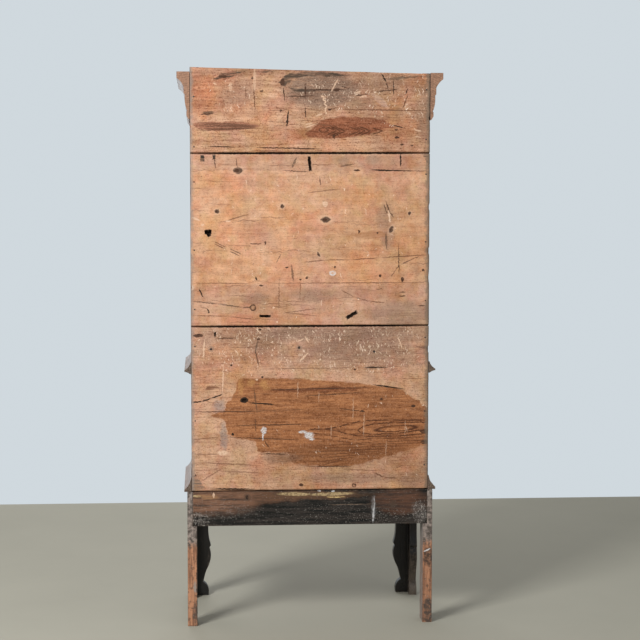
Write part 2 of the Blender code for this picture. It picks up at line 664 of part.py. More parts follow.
def build_panel(side, label, axis):
    """A fielded panel, its thin edge loose in the grooves of the frame."""
    seat = GROOVE_DEPTH - PANEL_PLAY
    lower_z = DOOR_LOWER_Z + BOTTOM_RAIL_WIDTH - seat
    upper_z = DOOR_UPPER_Z - TOP_RAIL_WIDTH + seat
    low, high = corners((side * (MEETING_STILE_X - seat), DOOR_AXIS_Y - PANEL_EDGE / 2, lower_z),
                        (side * (HINGE_STILE_X + seat), DOOR_AXIS_Y + PANEL_EDGE / 2, upper_z))
    middle = (low + high) / 2
    shape = bmesh.new()
    add_block(shape, low - middle, high - middle)
    shape.normal_update()
    front = [min(shape.faces, key=lambda face: face.calc_center_median().y)]
    bmesh.ops.inset_region(shape, faces=front, thickness=seat + PANEL_PLAY, use_even_offset=True)
    bmesh.ops.inset_region(shape, faces=front, thickness=PANEL_BEVEL_WIDTH, depth=PANEL_FIELD_RISE,
                           use_even_offset=True)
    panel = add(label + "_panel", mesh_from(label + "_panel", shape), STAINED_PINE, axis)
    place(panel, middle)


def build_pivots(side, label):
    """The pins that a door turns on, fixed in the frieze rail and the waist board."""
    for end, low, high in (("top", DOOR_UPPER_Z - PIVOT_IN_DOOR, CORNICE_BOTTOM_Z + PIVOT_IN_CARCASE),
                           ("bottom", WAIST_TOP_Z - PIVOT_IN_CARCASE, DOOR_LOWER_Z + PIVOT_IN_DOOR)):
        shape = bmesh.new()
        add_bar(shape, (0, 0, (low - high) / 2), (0, 0, (high - low) / 2), PIVOT_RADIUS)
        pin = add(label + "_pivot_" + end, mesh_from(label + "_pivot_" + end, shape), IRON)
        place(pin, (side * DOOR_AXIS_X, DOOR_AXIS_Y, (low + high) / 2))


def build_door(side, name):
    """A framed door with its panel, on an empty at its hinge axis, and the pins that carry it."""
    label = "door_" + name
    axis = axis_empty(label + "_axis", (side * DOOR_AXIS_X, DOOR_AXIS_Y, DOOR_LOWER_Z))
    build_hinge_stile(side, label, axis)
    build_meeting_stile(side, label, axis)
    build_door_rail(side, label + "_top_rail", axis, DOOR_UPPER_Z, TOP_RAIL_WIDTH, -1)
    build_door_rail(side, label + "_bottom_rail", axis, DOOR_LOWER_Z, BOTTOM_RAIL_WIDTH, 1)
    build_panel(side, label, axis)
    build_pivots(side, label)


def build_drawer(label, floor_z, ceiling_z):
    """A drawer whose front is rebated for the bottom; the sides and the back stand on the bottom."""
    runner = axis_empty(label + "_runner", (0.0, FRONT_Y, floor_z))
    half = INNER_HALF - DRAWER_CLEARANCE
    low = floor_z + DRAWER_RUNNING_GAP
    high = ceiling_z - DRAWER_CLEARANCE
    front_back_y = FRONT_Y + DRAWER_FRONT_THICKNESS
    rebate_y = front_back_y - DRAWER_BOTTOM_REBATE
    tail_y = BACK_INNER_Y - DRAWER_BACK_CLEARANCE
    bottom_top = low + DRAWER_BOTTOM_THICKNESS
    wall_low = bottom_top + JOINT_GAP
    wall_high = high - DRAWER_SIDE_DROP
    knob_z = (low + high) / 2

    front = board(label + "_front", (-half, FRONT_Y, low), (half, front_back_y, high), STAINED_PINE, runner)
    rebate = ((-half - CUT_PAST, rebate_y, low - CUT_PAST),
              (half + CUT_PAST, front_back_y + CUT_PAST, bottom_top + JOINT_GAP))
    holes = []
    for side, name in SIDES:
        knob_x = side * DRAWER_KNOB_SPREAD / 2
        holes.append(spigot_hole(knob_x, knob_z))
        build_knob(label + "_knob_" + name, knob_x, knob_z, runner)
        board(label + "_side_" + name, (side * half, front_back_y + JOINT_GAP, wall_low),
              (side * (half - DRAWER_SIDE_THICKNESS), tail_y, wall_high), INNER_PINE, runner)
    combine(front, "DIFFERENCE", "rebate_and_holes", [rebate], holes)
    board(label + "_bottom", (-half, rebate_y + JOINT_GAP, low), (half, tail_y, bottom_top),
          INNER_PINE, runner, False)
    back_half = half - DRAWER_SIDE_THICKNESS - JOINT_GAP
    board(label + "_back", (-back_half, tail_y - DRAWER_SIDE_THICKNESS, wall_low),
          (back_half, tail_y, wall_high), INNER_PINE, runner)


for sign, hand in SIDES:
    build_back_leg(sign, hand)
    build_front_leg(sign, hand)
    build_side_rail(sign, hand)
    build_door(sign, hand)
build_back_rail()
build_front_apron()
build_carcase()
build_back_boards()
build_mouldings()
build_drawer("lower_drawer", BOTTOM_TOP_Z, DIVIDER_LOWER_Z)
build_drawer("upper_drawer", DIVIDER_TOP_Z, WAIST_MOULDING_Z)
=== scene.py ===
"""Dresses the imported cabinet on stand: aged back boards, dark stand, stained front, a camera behind."""
import json
import math
import random
from collections import namedtuple
from itertools import groupby

import bmesh
import bpy
from mathutils import Euler, Matrix, Vector, noise


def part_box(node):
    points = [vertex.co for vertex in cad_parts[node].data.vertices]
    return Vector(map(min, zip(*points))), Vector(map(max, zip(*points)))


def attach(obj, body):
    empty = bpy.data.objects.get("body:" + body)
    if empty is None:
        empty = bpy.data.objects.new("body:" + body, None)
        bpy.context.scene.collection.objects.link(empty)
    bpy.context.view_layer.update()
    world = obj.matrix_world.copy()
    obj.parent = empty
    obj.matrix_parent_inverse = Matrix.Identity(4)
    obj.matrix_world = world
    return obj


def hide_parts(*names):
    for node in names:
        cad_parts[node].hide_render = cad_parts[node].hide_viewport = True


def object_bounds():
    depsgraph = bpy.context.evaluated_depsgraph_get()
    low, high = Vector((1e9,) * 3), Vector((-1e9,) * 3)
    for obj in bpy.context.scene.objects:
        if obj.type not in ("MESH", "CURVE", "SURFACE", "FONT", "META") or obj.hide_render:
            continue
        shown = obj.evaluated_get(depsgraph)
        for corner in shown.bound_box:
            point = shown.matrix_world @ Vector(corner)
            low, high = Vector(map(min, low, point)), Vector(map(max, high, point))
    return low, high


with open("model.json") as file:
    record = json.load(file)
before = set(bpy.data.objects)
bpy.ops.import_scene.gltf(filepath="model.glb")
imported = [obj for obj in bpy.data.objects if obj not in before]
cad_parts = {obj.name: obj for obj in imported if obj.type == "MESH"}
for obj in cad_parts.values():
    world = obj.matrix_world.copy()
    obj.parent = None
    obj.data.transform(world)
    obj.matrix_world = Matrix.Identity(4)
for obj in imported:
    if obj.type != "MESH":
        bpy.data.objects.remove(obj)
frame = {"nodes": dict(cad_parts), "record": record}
CAD_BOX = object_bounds()
NODES = frame["nodes"]
SLOT_OF = {part["node"]: part["material_slot"] for part in frame["record"]["subparts"]}

# Places taken from the frame
BACK_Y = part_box("back_board_middle")[1].y
HALF_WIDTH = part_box("back_board_middle")[1].x
DOOR_FRONT_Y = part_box("door_right_meeting_stile")[0].y
DRAWER_FRONT_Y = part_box("lower_drawer_front")[0].y
FRONT_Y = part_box("drawer_divider")[0].y

# Camera of the photo: pixels of its 640 by 640 frame, metres and radians
PHOTO_PX = 640
FOCAL_PX = 1532.6
AXIS_COLUMN = 302.7
CAMERA_AWAY = 5.081
CAMERA_AT = Vector((0.360, BACK_Y + CAMERA_AWAY, 1.405))
CAMERA_YAW = 0.0656
CAMERA_TILT = 0.0732
SENSOR_MM = 36.0
CAMERA_TURN = Euler((math.pi / 2 - CAMERA_TILT, 0.0, math.pi - CAMERA_YAW))
PIXEL = CAMERA_AWAY / FOCAL_PX

# Stage
FLOOR_COLOUR = (0.41, 0.395, 0.325)
WALL_COLOUR = (0.63, 0.69, 0.73)
FLOOR_END_Y = -1.95
FLOOR_NEAR_Y = 9.0
FLOOR_HALF = 7.0
FLOOR_DARKER = 0.86
WORLD_LIGHT = 0.36
Lamp = namedtuple("Lamp", "name watts size at")
LAMPS = [
    Lamp("key", 235.0, 1.4, Vector((2.9, 3.5, 3.4))),
    Lamp("fill", 14.0, 2.5, Vector((-3.4, 3.2, 2.2))),
    Lamp("front", 75.0, 2.5, Vector((0.6, -4.6, 3.4))),
]
LIGHT_AIM = Vector((0.0, 0.0, 1.0))

# Colours, linear
CRACK = (0.030, 0.018, 0.012)
INK = (0.035, 0.028, 0.022)
KNOT = (0.075, 0.036, 0.022)
KNOT_BODY = (0.120, 0.070, 0.047)
BROWN = (0.170, 0.078, 0.042)
SMUDGE = (0.072, 0.045, 0.031)
GREY_BROWN = (0.270, 0.185, 0.130)
PALE = (0.760, 0.520, 0.360)
CHALK = (0.720, 0.720, 0.720)
YELLOW_PAINT = (0.500, 0.365, 0.190)
SMEAR_LIGHT = (0.125, 0.082, 0.056)
SMEAR_DARK = (0.030, 0.023, 0.018)
PINK_SCRAPE = (0.600, 0.420, 0.340)
BLUISH = (0.330, 0.300, 0.285)
AMBER = (0.600, 0.310, 0.120)
STAIN_FOOT = (0.170, 0.068, 0.028)
STAIN_GRAIN = (0.095, 0.036, 0.018)
SCRAPED = (0.860, 0.650, 0.490)
GREYED = (0.300, 0.195, 0.140)


SHEEN_ROUGH = 0.4
EDGE_SAMPLES = 6


def darker(colour, share):
    return tuple(share * part for part in colour)


class Shade:
    """A material whose node tree is built with short calls; sockets and plain values can be mixed."""

    def __init__(self, name):
        self.material = bpy.data.materials.new(name)
        self.material.use_nodes = True
        self.tree = self.material.node_tree
        self.tree.nodes.clear()
        self.place = self.node("TexCoord").outputs["Object"]

    def node(self, kind, inputs=(), **settings):
        made = self.tree.nodes.new("ShaderNode" + kind)
        for key, value in settings.items():
            setattr(made, key, value)
        for key, value in dict(inputs).items():
            self.put(made.inputs[key], value)
        return made

    def put(self, socket, value):
        if isinstance(value, bpy.types.NodeSocket):
            self.tree.links.new(value, socket)
        elif socket.type == "RGBA":
            socket.default_value = (*value, 1.0)
        else:
            socket.default_value = value

    def math(self, operation, *values):
        return self.node("Math", enumerate(values), operation=operation).outputs[0]

    def vector(self, operation, *values):
        made = self.node("VectorMath", enumerate(values), operation=operation)
        return made.outputs["Value" if operation in ("LENGTH", "DOT_PRODUCT") else "Vector"]

    def split(self, vector):
        return self.node("SeparateXYZ", {0: vector}).outputs

    def join(self, *parts):
        return self.node("CombineXYZ", enumerate(parts)).outputs[0]

    def noise(self, vector, scale, detail=2.0, rough=0.5):
        inputs = {"Vector": vector, "Scale": scale, "Detail": detail, "Roughness": rough}
        return self.node("TexNoise", inputs).outputs[0]

    def smooth(self, value, low, high, to_low=0.0, to_high=1.0):
        inputs = {"Value": value, "From Min": low, "From Max": high, "To Min": to_low, "To Max": to_high}
        return self.node("MapRange", inputs, interpolation_type="SMOOTHSTEP").outputs[0]

    def mix(self, factor, first, second, blend="MIX"):
        inputs = {0: factor, 6: first, 7: second}
        return self.node("Mix", inputs, data_type="RGBA", blend_type=blend).outputs[2]

    def edges(self, radius, low, high):
        """How near a point is to an outer or inner edge of its shape, from 0 to 1."""
        rounded = self.node("Bevel", {"Radius": radius}, samples=EDGE_SAMPLES).outputs[0]
        flat = self.node("NewGeometry").outputs["Normal"]
        return self.smooth(self.vector("DOT_PRODUCT", rounded, flat), low, high, 1.0, 0.0)

    def facing(self, axis):
        """One part of the way a surface faces: 0 for x, 1 for y, 2 for z."""
        return self.split(self.node("NewGeometry").outputs["Normal"])[axis]

    def finish(self, colour, rough, height, lift, metal=0.0, specular=0.4, dust=0.0):
        """Ends the tree with one shader; height runs from 0 to 1 and lift is its height in metres."""
        bump = self.node("Bump", {"Strength": 1.0, "Distance": lift, "Height": height})
        inputs = {"Base Color": colour, "Roughness": rough, "Metallic": metal, "Normal": bump.outputs[0],
                  "Specular IOR Level": specular, "Sheen Weight": dust, "Sheen Roughness": SHEEN_ROUGH}
        shader = self.node("BsdfPrincipled", inputs)
        self.node("OutputMaterial", {"Surface": shader.outputs[0]})
        return self.material


# Wood

STRETCH = {"x": (0.07, 1.0, 1.0), "y": (1.0, 0.07, 1.0), "z": (1.0, 1.0, 0.07)}
ACROSS = {"x": (0.0, 1.0, 1.0), "y": (1.0, 0.0, 1.0), "z": (1.0, 1.0, 0.0)}

# Shares of rings, streaks and fibres in the relief of wood, and its height in metres
RING_RELIEF = 0.35
STREAK_RELIEF = 0.4
FIBRE_RELIEF = 0.3
RELIEF = 0.0006
THIN_RELIEF = 0.0005

Grain = namedtuple("Grain", "rings streaks veins fibres mottle")


def pine_grain(shade, along, ring_gap, pith, sway=0.02):
    """Solid pine pattern: rings about a pith line, streaks and fibres along one axis, and broad mottling."""
    slow = shade.vector("MULTIPLY", shade.place, STRETCH[along])
    wander = shade.node("TexNoise", {"Vector": slow, "Scale": 9.0, "Detail": 2.0}).outputs["Color"]
    bent = shade.vector("MULTIPLY_ADD", wander, (sway, sway, sway), shade.place)
    spoke = shade.vector("MULTIPLY", shade.vector("SUBTRACT", bent, pith), ACROSS[along])
    turns = shade.math("DIVIDE", shade.vector("LENGTH", spoke), ring_gap)
    late = shade.math("FRACT", turns)
    rings = shade.math("MULTIPLY", shade.smooth(late, 0.55, 0.92), shade.smooth(late, 0.93, 1.0, 1.0, 0.0))
    streaks = shade.noise(slow, 130.0, 3.0, 0.6)
    fine = shade.vector("MULTIPLY", slow, STRETCH[along])
    drawn = shade.vector("MULTIPLY_ADD", fine, (3.0, 3.0, 3.0), slow)
    veins = shade.smooth(shade.noise(drawn, 185.0, 2.0, 0.6), 0.57, 0.66)
    fibres = shade.noise(slow, 620.0, 2.0, 0.6)
    mottle = shade.noise(shade.place, 7.0, 3.0, 0.55)
    return Grain(rings, streaks, veins, fibres, mottle)


def grain_height(shade, grain):
    """One height of 0 to 1 from a grain's rings, streaks and fibres."""
    height = shade.math("MULTIPLY", grain.streaks, STREAK_RELIEF)
    height = shade.math("MULTIPLY_ADD", grain.rings, RING_RELIEF, height)
    return shade.math("MULTIPLY_ADD", grain.fibres, FIBRE_RELIEF, height)


# Marks on the back boards, stand rail and legs, at pixels of the photo

Mark = namedtuple("Mark", "name at reach turn shape soft colour strength")
SPOT_SOFT = 0.32
LINE_SOFT = 0.5
FADE_OUTSIDE = 0.3
KNOT_HALO = 1.7
KNOT_CORE_ASIDE = 0.2
KNOT_CORE_WIDE = 0.4
KNOT_CORE_HIGH = 0.5


def under_pixel(column, row):
    """The point on the face of the back that a pixel of the photo shows."""
    look = Vector(((column - AXIS_COLUMN) / FOCAL_PX, (PHOTO_PX / 2 - row) / FOCAL_PX, -1.0))
    ray = CAMERA_TURN.to_matrix() @ look
    return CAMERA_AT + ray * ((BACK_Y - CAMERA_AT.y) / ray.y)


def spot(name, column, row, half_wide, half_high, colour, strength=1.0, turn=0.0, shape="oval",
         soft=SPOT_SOFT):
    """A mark about one pixel: half sizes in pixels, turn in degrees anticlockwise in the photo."""
    point = under_pixel(column, row)
    reach = (half_wide * PIXEL, half_high * PIXEL)
    return Mark(name, (-point.x, point.z), reach, math.radians(turn), shape, soft, colour, strength)


def spots(colour, strength, places, shape="oval", soft=SPOT_SOFT):
    """Marks alike, from their names and each one's column, row, half width and half height."""
    return [spot(name, *place, colour, strength, 0.0, shape, soft) for name, place in places.items()]


def line(name, start, end, half_thick, colour, strength=1.0, shape="oval"):
    """A long thin mark between two pixels."""
    wide, high = end[0] - start[0], start[1] - end[1]
    column, row = (start[0] + end[0]) / 2, (start[1] + end[1]) / 2
    turn = math.degrees(math.atan2(high, wide))
    half_long = math.hypot(wide, high) / 2
    return spot(name, column, row, half_long, half_thick, colour, strength, turn, shape, LINE_SOFT)


def lines(colour, half_thick, strength, ends):
    """Thin marks alike, from their names and the column and row of each one's start and end."""
    return [line(name, at[:2], at[2:], half_thick, colour, strength) for name, at in ends.items()]


def path(name, points, half_thick, colour, strength=1.0):
    """A bent thin mark through several pixels."""
    pairs = zip(points, points[1:])
    return [line(f"{name} {i}", a, b, half_thick, colour, strength, "box") for i, (a, b) in enumerate(pairs)]


def knot(name, column, row, half_wide, half_high, turn=0.0, shape="oval"):
    """A knot: a pale halo, a brown body and a dark core."""
    return [
        spot(name + " halo", column, row, half_wide * KNOT_HALO, half_high * KNOT_HALO, PALE, 0.35, turn,
             "oval", 0.9),
        spot(name, column, row, half_wide, half_high, KNOT_BODY, 0.9, turn, shape, 0.35),
        spot(name + " core", column - half_wide * KNOT_CORE_ASIDE, row, half_wide * KNOT_CORE_WIDE,
             half_high * KNOT_CORE_HIGH, KNOT, 0.9, turn),
    ]


def chevrons(name, row, tips, reach, half_thick, colour):
    """Pointed grain lines one behind the other, from the column of each tip and how far its arms spread."""
    made = []
    for column, spread in tips:
        for side in (-1, 1):
            start = (column - reach, row + side * spread)
            label = f"{name} {column} {side}"
            made.append(line(label, start, (column, row), half_thick, colour, 0.9, "box"))
    return made


def seen_from(shade, plane, at, reach, turn=0.0):
    """Right and up from a place on the back along turned axes, in half widths and half heights."""
    (right, up), (wide, high) = at, reach
    along, aside = math.cos(turn), math.sin(turn)
    to_right = (along / wide, aside / wide, -(right * along + up * aside) / wide)
    to_top = (-aside / high, along / high, (right * aside - up * along) / high)
    return shade.vector("DOT_PRODUCT", plane, to_right), shade.vector("DOT_PRODUCT", plane, to_top)


def mark_mask(shade, plane, mark):
    """Where one mark lies: its strength inside, 0 outside."""
    right, up = seen_from(shade, plane, mark.at, mark.reach, mark.turn)
    if mark.shape == "box":
        distance = shade.math("MAXIMUM", shade.math("ABSOLUTE", right), shade.math("ABSOLUTE", up))
    elif mark.shape == "lens":
        distance = shade.math("MULTIPLY_ADD", right, right, shade.math("ABSOLUTE", up))
    else:
        distance = shade.math("MULTIPLY_ADD", right, right, shade.math("MULTIPLY", up, up))
    if mark.shape == "ring":
        gap = shade.math("ABSOLUTE", shade.math("SUBTRACT", distance, 1.0))
        return shade.smooth(gap, 0.0, 2.0 * mark.soft, mark.strength, 0.0)
    return shade.smooth(distance, 1.0 - mark.soft, 1.0 + FADE_OUTSIDE * mark.soft, mark.strength, 0.0)


def add_marks(shade, colour, plane, marks, broken, blend="MIX"):
    """Lays marks over a colour, neighbours of one colour together, thinned where the broken value is low."""
    for tint, alike in groupby(marks, key=lambda mark: mark.colour):
        mask = shade.math("MULTIPLY", union(shade, plane, list(alike)), broken)
        colour = shade.mix(mask, colour, tint, blend)
    return colour


def union(shade, plane, marks):
    """Where any of the marks lies."""
    mask = mark_mask(shade, plane, marks[0])
    for mark in marks[1:]:
        mask = shade.math("MAXIMUM", mask, mark_mask(shade, plane, mark))
    return mask


# Larger areas with an outline of their own: pixels along the upper and the lower edge, left to right
Region = namedtuple("Region", "name upper lower light dark strength")
REGION_SOFT = 0.007
SHAKE_ALONG = 1.6


def smear(name, strength, upper, lower):
    """A region of the dark dirt that is smeared over the boards."""
    return Region(name, upper, lower, SMEAR_LIGHT, SMEAR_DARK, strength)


def edge_height(shade, across, pixels):
    """Height of a region's edge, as a smooth curve through its pixels."""
    curve = shade.node("FloatCurve", {"Value": across})
    curve.mapping.extend = "HORIZONTAL"
    points = curve.mapping.curves[0].points
    while len(points) < len(pixels):
        points.new(0.5, 0.5)
    for point, (column, row) in zip(points, pixels):
        place = under_pixel(column, row)
        point.location = (0.5 - 0.5 * place.x / HALF_WIDTH, place.z / CAD_BOX[1].z)
        point.handle_type = "AUTO_CLAMPED"
    curve.mapping.update()
    return shade.math("MULTIPLY", curve.outputs[0], CAD_BOX[1].z)


def region_mask(shade, plane, region):
    """Where a region lies: its strength inside, 0 outside."""
    right, up = seen_from(shade, plane, (0.0, 0.0), (1.0, 1.0))
    across = shade.math("MULTIPLY_ADD", right, 0.5 / HALF_WIDTH, 0.5)
    under = shade.math("SUBTRACT", edge_height(shade, across, region.upper), up)
    over = shade.math("SUBTRACT", up, edge_height(shade, across, region.lower))
    return shade.smooth(shade.math("MINIMUM", under, over), 0.0, REGION_SOFT, 0.0, region.strength)


def back_plane(shade, shake, scale):
    """The back as the photo sees it, right, up and 1, shaken a little so that outlines on it are uneven."""
    x, _, z = shade.split(shade.place)
    flat = shade.join(shade.math("MULTIPLY", x, -1.0), z, 1.0)
    cloud = shade.node("TexNoise", {"Vector": flat, "Scale": scale, "Detail": 3.0}).outputs["Color"]
    centred = shade.vector("SUBTRACT", cloud, (0.5, 0.5, 0.5))
    return shade.vector("MULTIPLY_ADD", centred, (shake * SHAKE_ALONG, shake, 0.0), flat)


def flecks(shade, plane, across, length, lean, share, thick=0.13):
    """Short scratches strewn over a surface: long cells leaning from upright, of which a share show."""
    cells = shade.join(*seen_from(shade, plane, (0.0, 0.0), (across, length), math.radians(-lean)), 0.0)
    voronoi = shade.node("TexVoronoi", {"Vector": cells, "Scale": 1.0}, voronoi_dimensions="2D")
    chance, vigour, _ = shade.node("SeparateColor", {0: voronoi.outputs["Color"]}).outputs
    vigour = shade.math("MULTIPLY_ADD", vigour, 0.7, 0.4)
    shown = shade.math("MULTIPLY", shade.math("LESS_THAN", chance, share), vigour)
    core = shade.smooth(voronoi.outputs["Distance"], 0.3 * thick, thick, 1.0, 0.0)
    return shade.math("MULTIPLY", shown, core)


# Holes that go into the boards, at pixels of the photo

Hole = namedtuple("Hole", "name node column row half_wide half_high turn depth sides")
HOLES = [
    Hole("knot hole left", "back_board_middle", 206.4, 232.0, 2.0, 2.3, 15, 0.016, 9),
    Hole("knot hole right", "back_board_middle", 209.8, 231.8, 1.9, 2.4, -10, 0.015, 9),
    Hole("knot hole foot", "back_board_middle", 208.6, 234.6, 1.9, 2.2, 30, 0.014, 8),
    Hole("slot", "back_board_middle", 265, 316.1, 5.8, 1.4, 0, 0.014, 10),
    Hole("gouge", "back_board_middle", 351.8, 315, 6.8, 2.0, 31, 0.007, 10),
    Hole("notch", "back_board_middle", 309.8, 163.6, 1.6, 8.0, 6, 0.009, 12),
    Hole("black knot", "back_board_bottom", 244.3, 400.2, 2.6, 1.8, 0, 0.006, 9),
]

# Top board

TOP_REGIONS = [
    Region("right heart streak",
           [(303, 134), (311, 129), (318, 123), (329, 117), (352, 116), (371, 117.6), (389, 121.5),
            (394, 125.5), (402, 127.4)],
           [(303, 134), (309, 138.6), (329, 139.6), (352, 138.4), (366, 136), (375, 133), (387, 130.2),
            (394, 129.2), (402, 127.4)],
           (0.390, 0.150, 0.078), (0.205, 0.074, 0.038), 1.0),
    Region("left resin streak",
           [(191, 124.5), (198, 121.2), (209, 120.7), (229, 120.7), (247, 121.6), (257, 124), (262, 127.4)],
           [(191, 124.5), (198, 128.7), (204.5, 130.8), (222, 132), (240, 131.2), (250, 129.4),
            (262, 127.4)],
           (0.438, 0.199, 0.123), (0.260, 0.113, 0.068), 0.95),
]
TOP_SMEARS = [
    smear("top left", 0.95, [(212, 81), (218, 74.5), (228, 71.5), (240, 69.3), (257, 70)],
          [(212, 81), (222, 79.5), (232, 77.5), (240, 73.6), (257, 70)]),
    smear("upper arm of the bend", 0.95,
          [(278, 82), (283, 76), (292, 71.5), (310, 71), (330, 72), (354, 75.5)],
          [(278, 82), (284, 87.5), (291, 82), (300, 78), (320, 77), (340, 78), (354, 75.5)]),
    smear("lower arm of the bend", 0.95, [(281, 85), (292, 87.3), (305, 88.2), (325, 88.6), (350, 91)],
          [(281, 85), (292, 91.5), (303, 93.8), (320, 92.4), (350, 91)]),
    smear("under the top edge", 0.8, [(254, 71), (266, 69.5), (280, 71.5)],
          [(254, 71), (266, 73), (280, 71.5)]),
    smear("top right", 0.6, [(383, 78.6), (394, 76), (420, 75)], [(383, 78.6), (394, 80.8), (420, 78)]),
    smear("left", 0.7, [(201, 113), (208, 110), (217, 113)], [(201, 113), (208, 116.5), (217, 113)]),
]
TOP_GREYS = (
    spots(GREYED, 0.9, {"grey under the top": (322, 90, 44, 21)}, soft=0.7)
    + spots(GREYED, 0.45, {
        "grey run to the right": (372, 84, 34, 12), "grey haze left": (236, 93, 21, 15),
        "grey right end": (424, 118, 9, 34), "grey over the heart streak": (350, 103, 30, 8)}, soft=0.9)
)
TOP_TONES = [
    spot("brown left", 216, 92, 44, 28, (0.92, 0.89, 0.90), soft=0.6),
    spot("brown right", 392, 110, 46, 44, (0.90, 0.88, 0.85), soft=0.6),
    spot("orange left", 203, 98, 15, 24, (1.0, 0.87, 0.78), soft=0.8),
    spot("orange tip", 398, 130, 24, 14, (1.0, 0.87, 0.78), soft=0.8),
    spot("rust under the heart streak", 300, 134, 15, 7, (0.80, 0.68, 0.58), soft=0.9),
    spot("brown top edge", 310, 71, 120, 6, (0.78, 0.75, 0.76), soft=0.9),
]

# Pointed grain lines of the heart streak: row of the tips, column and spread of each, length of the arms
HEART_ROW = 131
HEART_TIPS = [(337.5, 4.4), (341.5, 5.0), (345.5, 5.2), (361, 4.0), (366, 4.6), (371, 4.6), (384, 3.0)]
HEART_REACH = 12.0

# Lines of the resin streak: their rows at its left end, and how they draw together towards its right end
RESIN_ROWS = (122.2, 124.2, 126.0, 128.9, 130.7)
RESIN_LEFT = 196
RESIN_RIGHT = 259
RESIN_MIDDLE = 127
RESIN_CLOSING = 0.3

TOP_MARKS = (
    lines(CRACK, 0.95, 1.0, {
        "black slash": (381.6, 74, 386.6, 82.4), "black streak": (286.6, 127, 288.6, 110)})
    + lines(KNOT, 0.7, 0.9, {
        "hair crack up": (393.5, 79, 393.8, 96), "hair crack level": (377, 91.8, 399, 89),
        "slash tail": (386, 82, 388.6, 90), "right slash": (407.8, 88, 405.4, 95),
        "dash in the smear": (200, 114.4, 214, 113.6), "low crack left": (208, 146.3, 236, 147),
        "low crack right": (254, 147.6, 322, 148.6), "crack in the grey": (283.4, 87, 284.6, 101),
        "second crack in the grey": (305.2, 82, 305.6, 99), "crack below it": (305.3, 106, 305.7, 118),
        "dark run": (304, 89.8, 348, 89.6), "dark curl": (341, 86, 350, 89), "low run": (286, 96.5, 316, 96),
        "run in the scrapes": (355, 95.8, 370, 93.6), "tail of the tip": (392, 125, 404, 128)})
    + lines(BROWN, 0.6, 0.85, {
        "slanting scratch": (408.4, 94, 402, 110), "old glue joint": (334, 109.6, 431, 110.6),
        "short joint": (327, 111, 338, 107), "upright left": (253.6, 82, 255, 112),
        "upright grain": (245.6, 88, 246, 99)})
    + lines(PALE, 0.85, 0.6, {
        "pale slant": (331, 92, 338.4, 78), "gold fleck": (305, 128, 315, 124),
        "gold fleck above": (305, 124.6, 313, 123), "gold fleck right": (315, 116.4, 323, 113.4),
        "pale nick": (355, 93.4, 362, 91), "low pale nick": (359, 98, 366, 95.4),
        "nick at the right": (413, 129.4, 422, 131.2), "nick below it": (415, 136.6, 421, 137.2),
        "left nick": (213, 83, 217, 84.4)})
    + lines(PINK_SCRAPE, 3.4, 0.3, {"pink scrape": (371, 93, 389, 108)})
    + lines(PALE, 1.7, 0.4, {"tan strip": (254.6, 68, 254.4, 92), "pale upright": (230.6, 82, 230.4, 92)})
    + path("worm track", [(320.6, 96), (325, 97.2), (322.6, 99.4), (326, 101.6), (324, 104), (327.2, 106.4),
                          (325, 109.6), (326.4, 114)], 0.75, PALE, 0.8)
    + spots(KNOT, 0.9, {
        "dark blot": (336.6, 89.8, 3.2, 1.8), "worm dash": (261.6, 91.4, 2.0, 0.9),
        "worm dot": (252.4, 78, 1.1, 1.3), "rust dot": (281, 110.6, 1.8, 0.9),
        "dark bend": (282.4, 82, 2.4, 3.6), "core of the smear": (222.6, 76.2, 4.6, 1.8),
        "speck beside the tip": (396.6, 129.6, 2.0, 0.9), "specks below": (397, 137.4, 2.6, 1.2),
        "right speck": (402, 144.6, 1.8, 0.8), "far right speck": (412, 145.6, 1.6, 0.8),
        "dot over the joint": (329.6, 109.6, 2.0, 1.1), "blot in the heart": (334, 136.4, 1.6, 2.4)})
    + [line(f"resin line {row}", (RESIN_LEFT, row),
            (RESIN_RIGHT, RESIN_MIDDLE + RESIN_CLOSING * (row - RESIN_MIDDLE)), 0.6, KNOT, 0.65)
       for row in RESIN_ROWS]
    + chevrons("heart chevron", HEART_ROW, HEART_TIPS, HEART_REACH, 0.7, STAIN_GRAIN)
    + spots(STAIN_GRAIN, 0.8, {"ripple in the heart": (323.6, 130, 4.2, 2.4)}, "ring", 0.4)
)

# Middle board

MIDDLE_SMEARS = [
    Region("warm patch", [(346, 236), (366, 230), (378, 229.5), (390, 234)],
           [(346, 236), (368, 240.5), (380, 240), (390, 234)],
           (0.470, 0.230, 0.105), (0.290, 0.125, 0.056), 0.55),
    smear("right of the strip", 0.6, [(419, 153), (424, 152), (430, 152)],
          [(419, 153), (424, 158), (430, 170)]),
]
MIDDLE_GREYS = (
    spots(GREYED, 0.45, {
        "grey by the right knots": (385, 219, 11, 17), "grey under them": (388, 238, 8, 14),
        "grey above the ring knot": (256, 299, 17, 7), "grey smear in the strip": (344, 161.5, 6, 6),
        "violet in the strip": (372, 160, 8, 6), "dusky band": (312, 295.5, 28, 8)}, soft=0.9)
    + spots(GREYED, 0.5, {"grey corner": (402, 314, 40, 14)}, soft=0.8)
)
MIDDLE_TONES = [
    spot("pink strip", 310, 161, 130, 10, (0.86, 0.87, 0.91), shape="box", soft=0.15),
    spot("olive right", 382, 240, 58, 62, (0.96, 0.93, 0.85), soft=0.7),
    spot("brown low strip", 310, 306, 130, 23, (0.90, 0.91, 0.96), shape="box", soft=0.12),
    spot("orange foot", 262, 319, 70, 6, (0.98, 0.88, 0.82), shape="box", soft=0.5),
    spot("amber left", 225, 250, 34, 46, (1.0, 0.96, 0.90), soft=0.8),
]
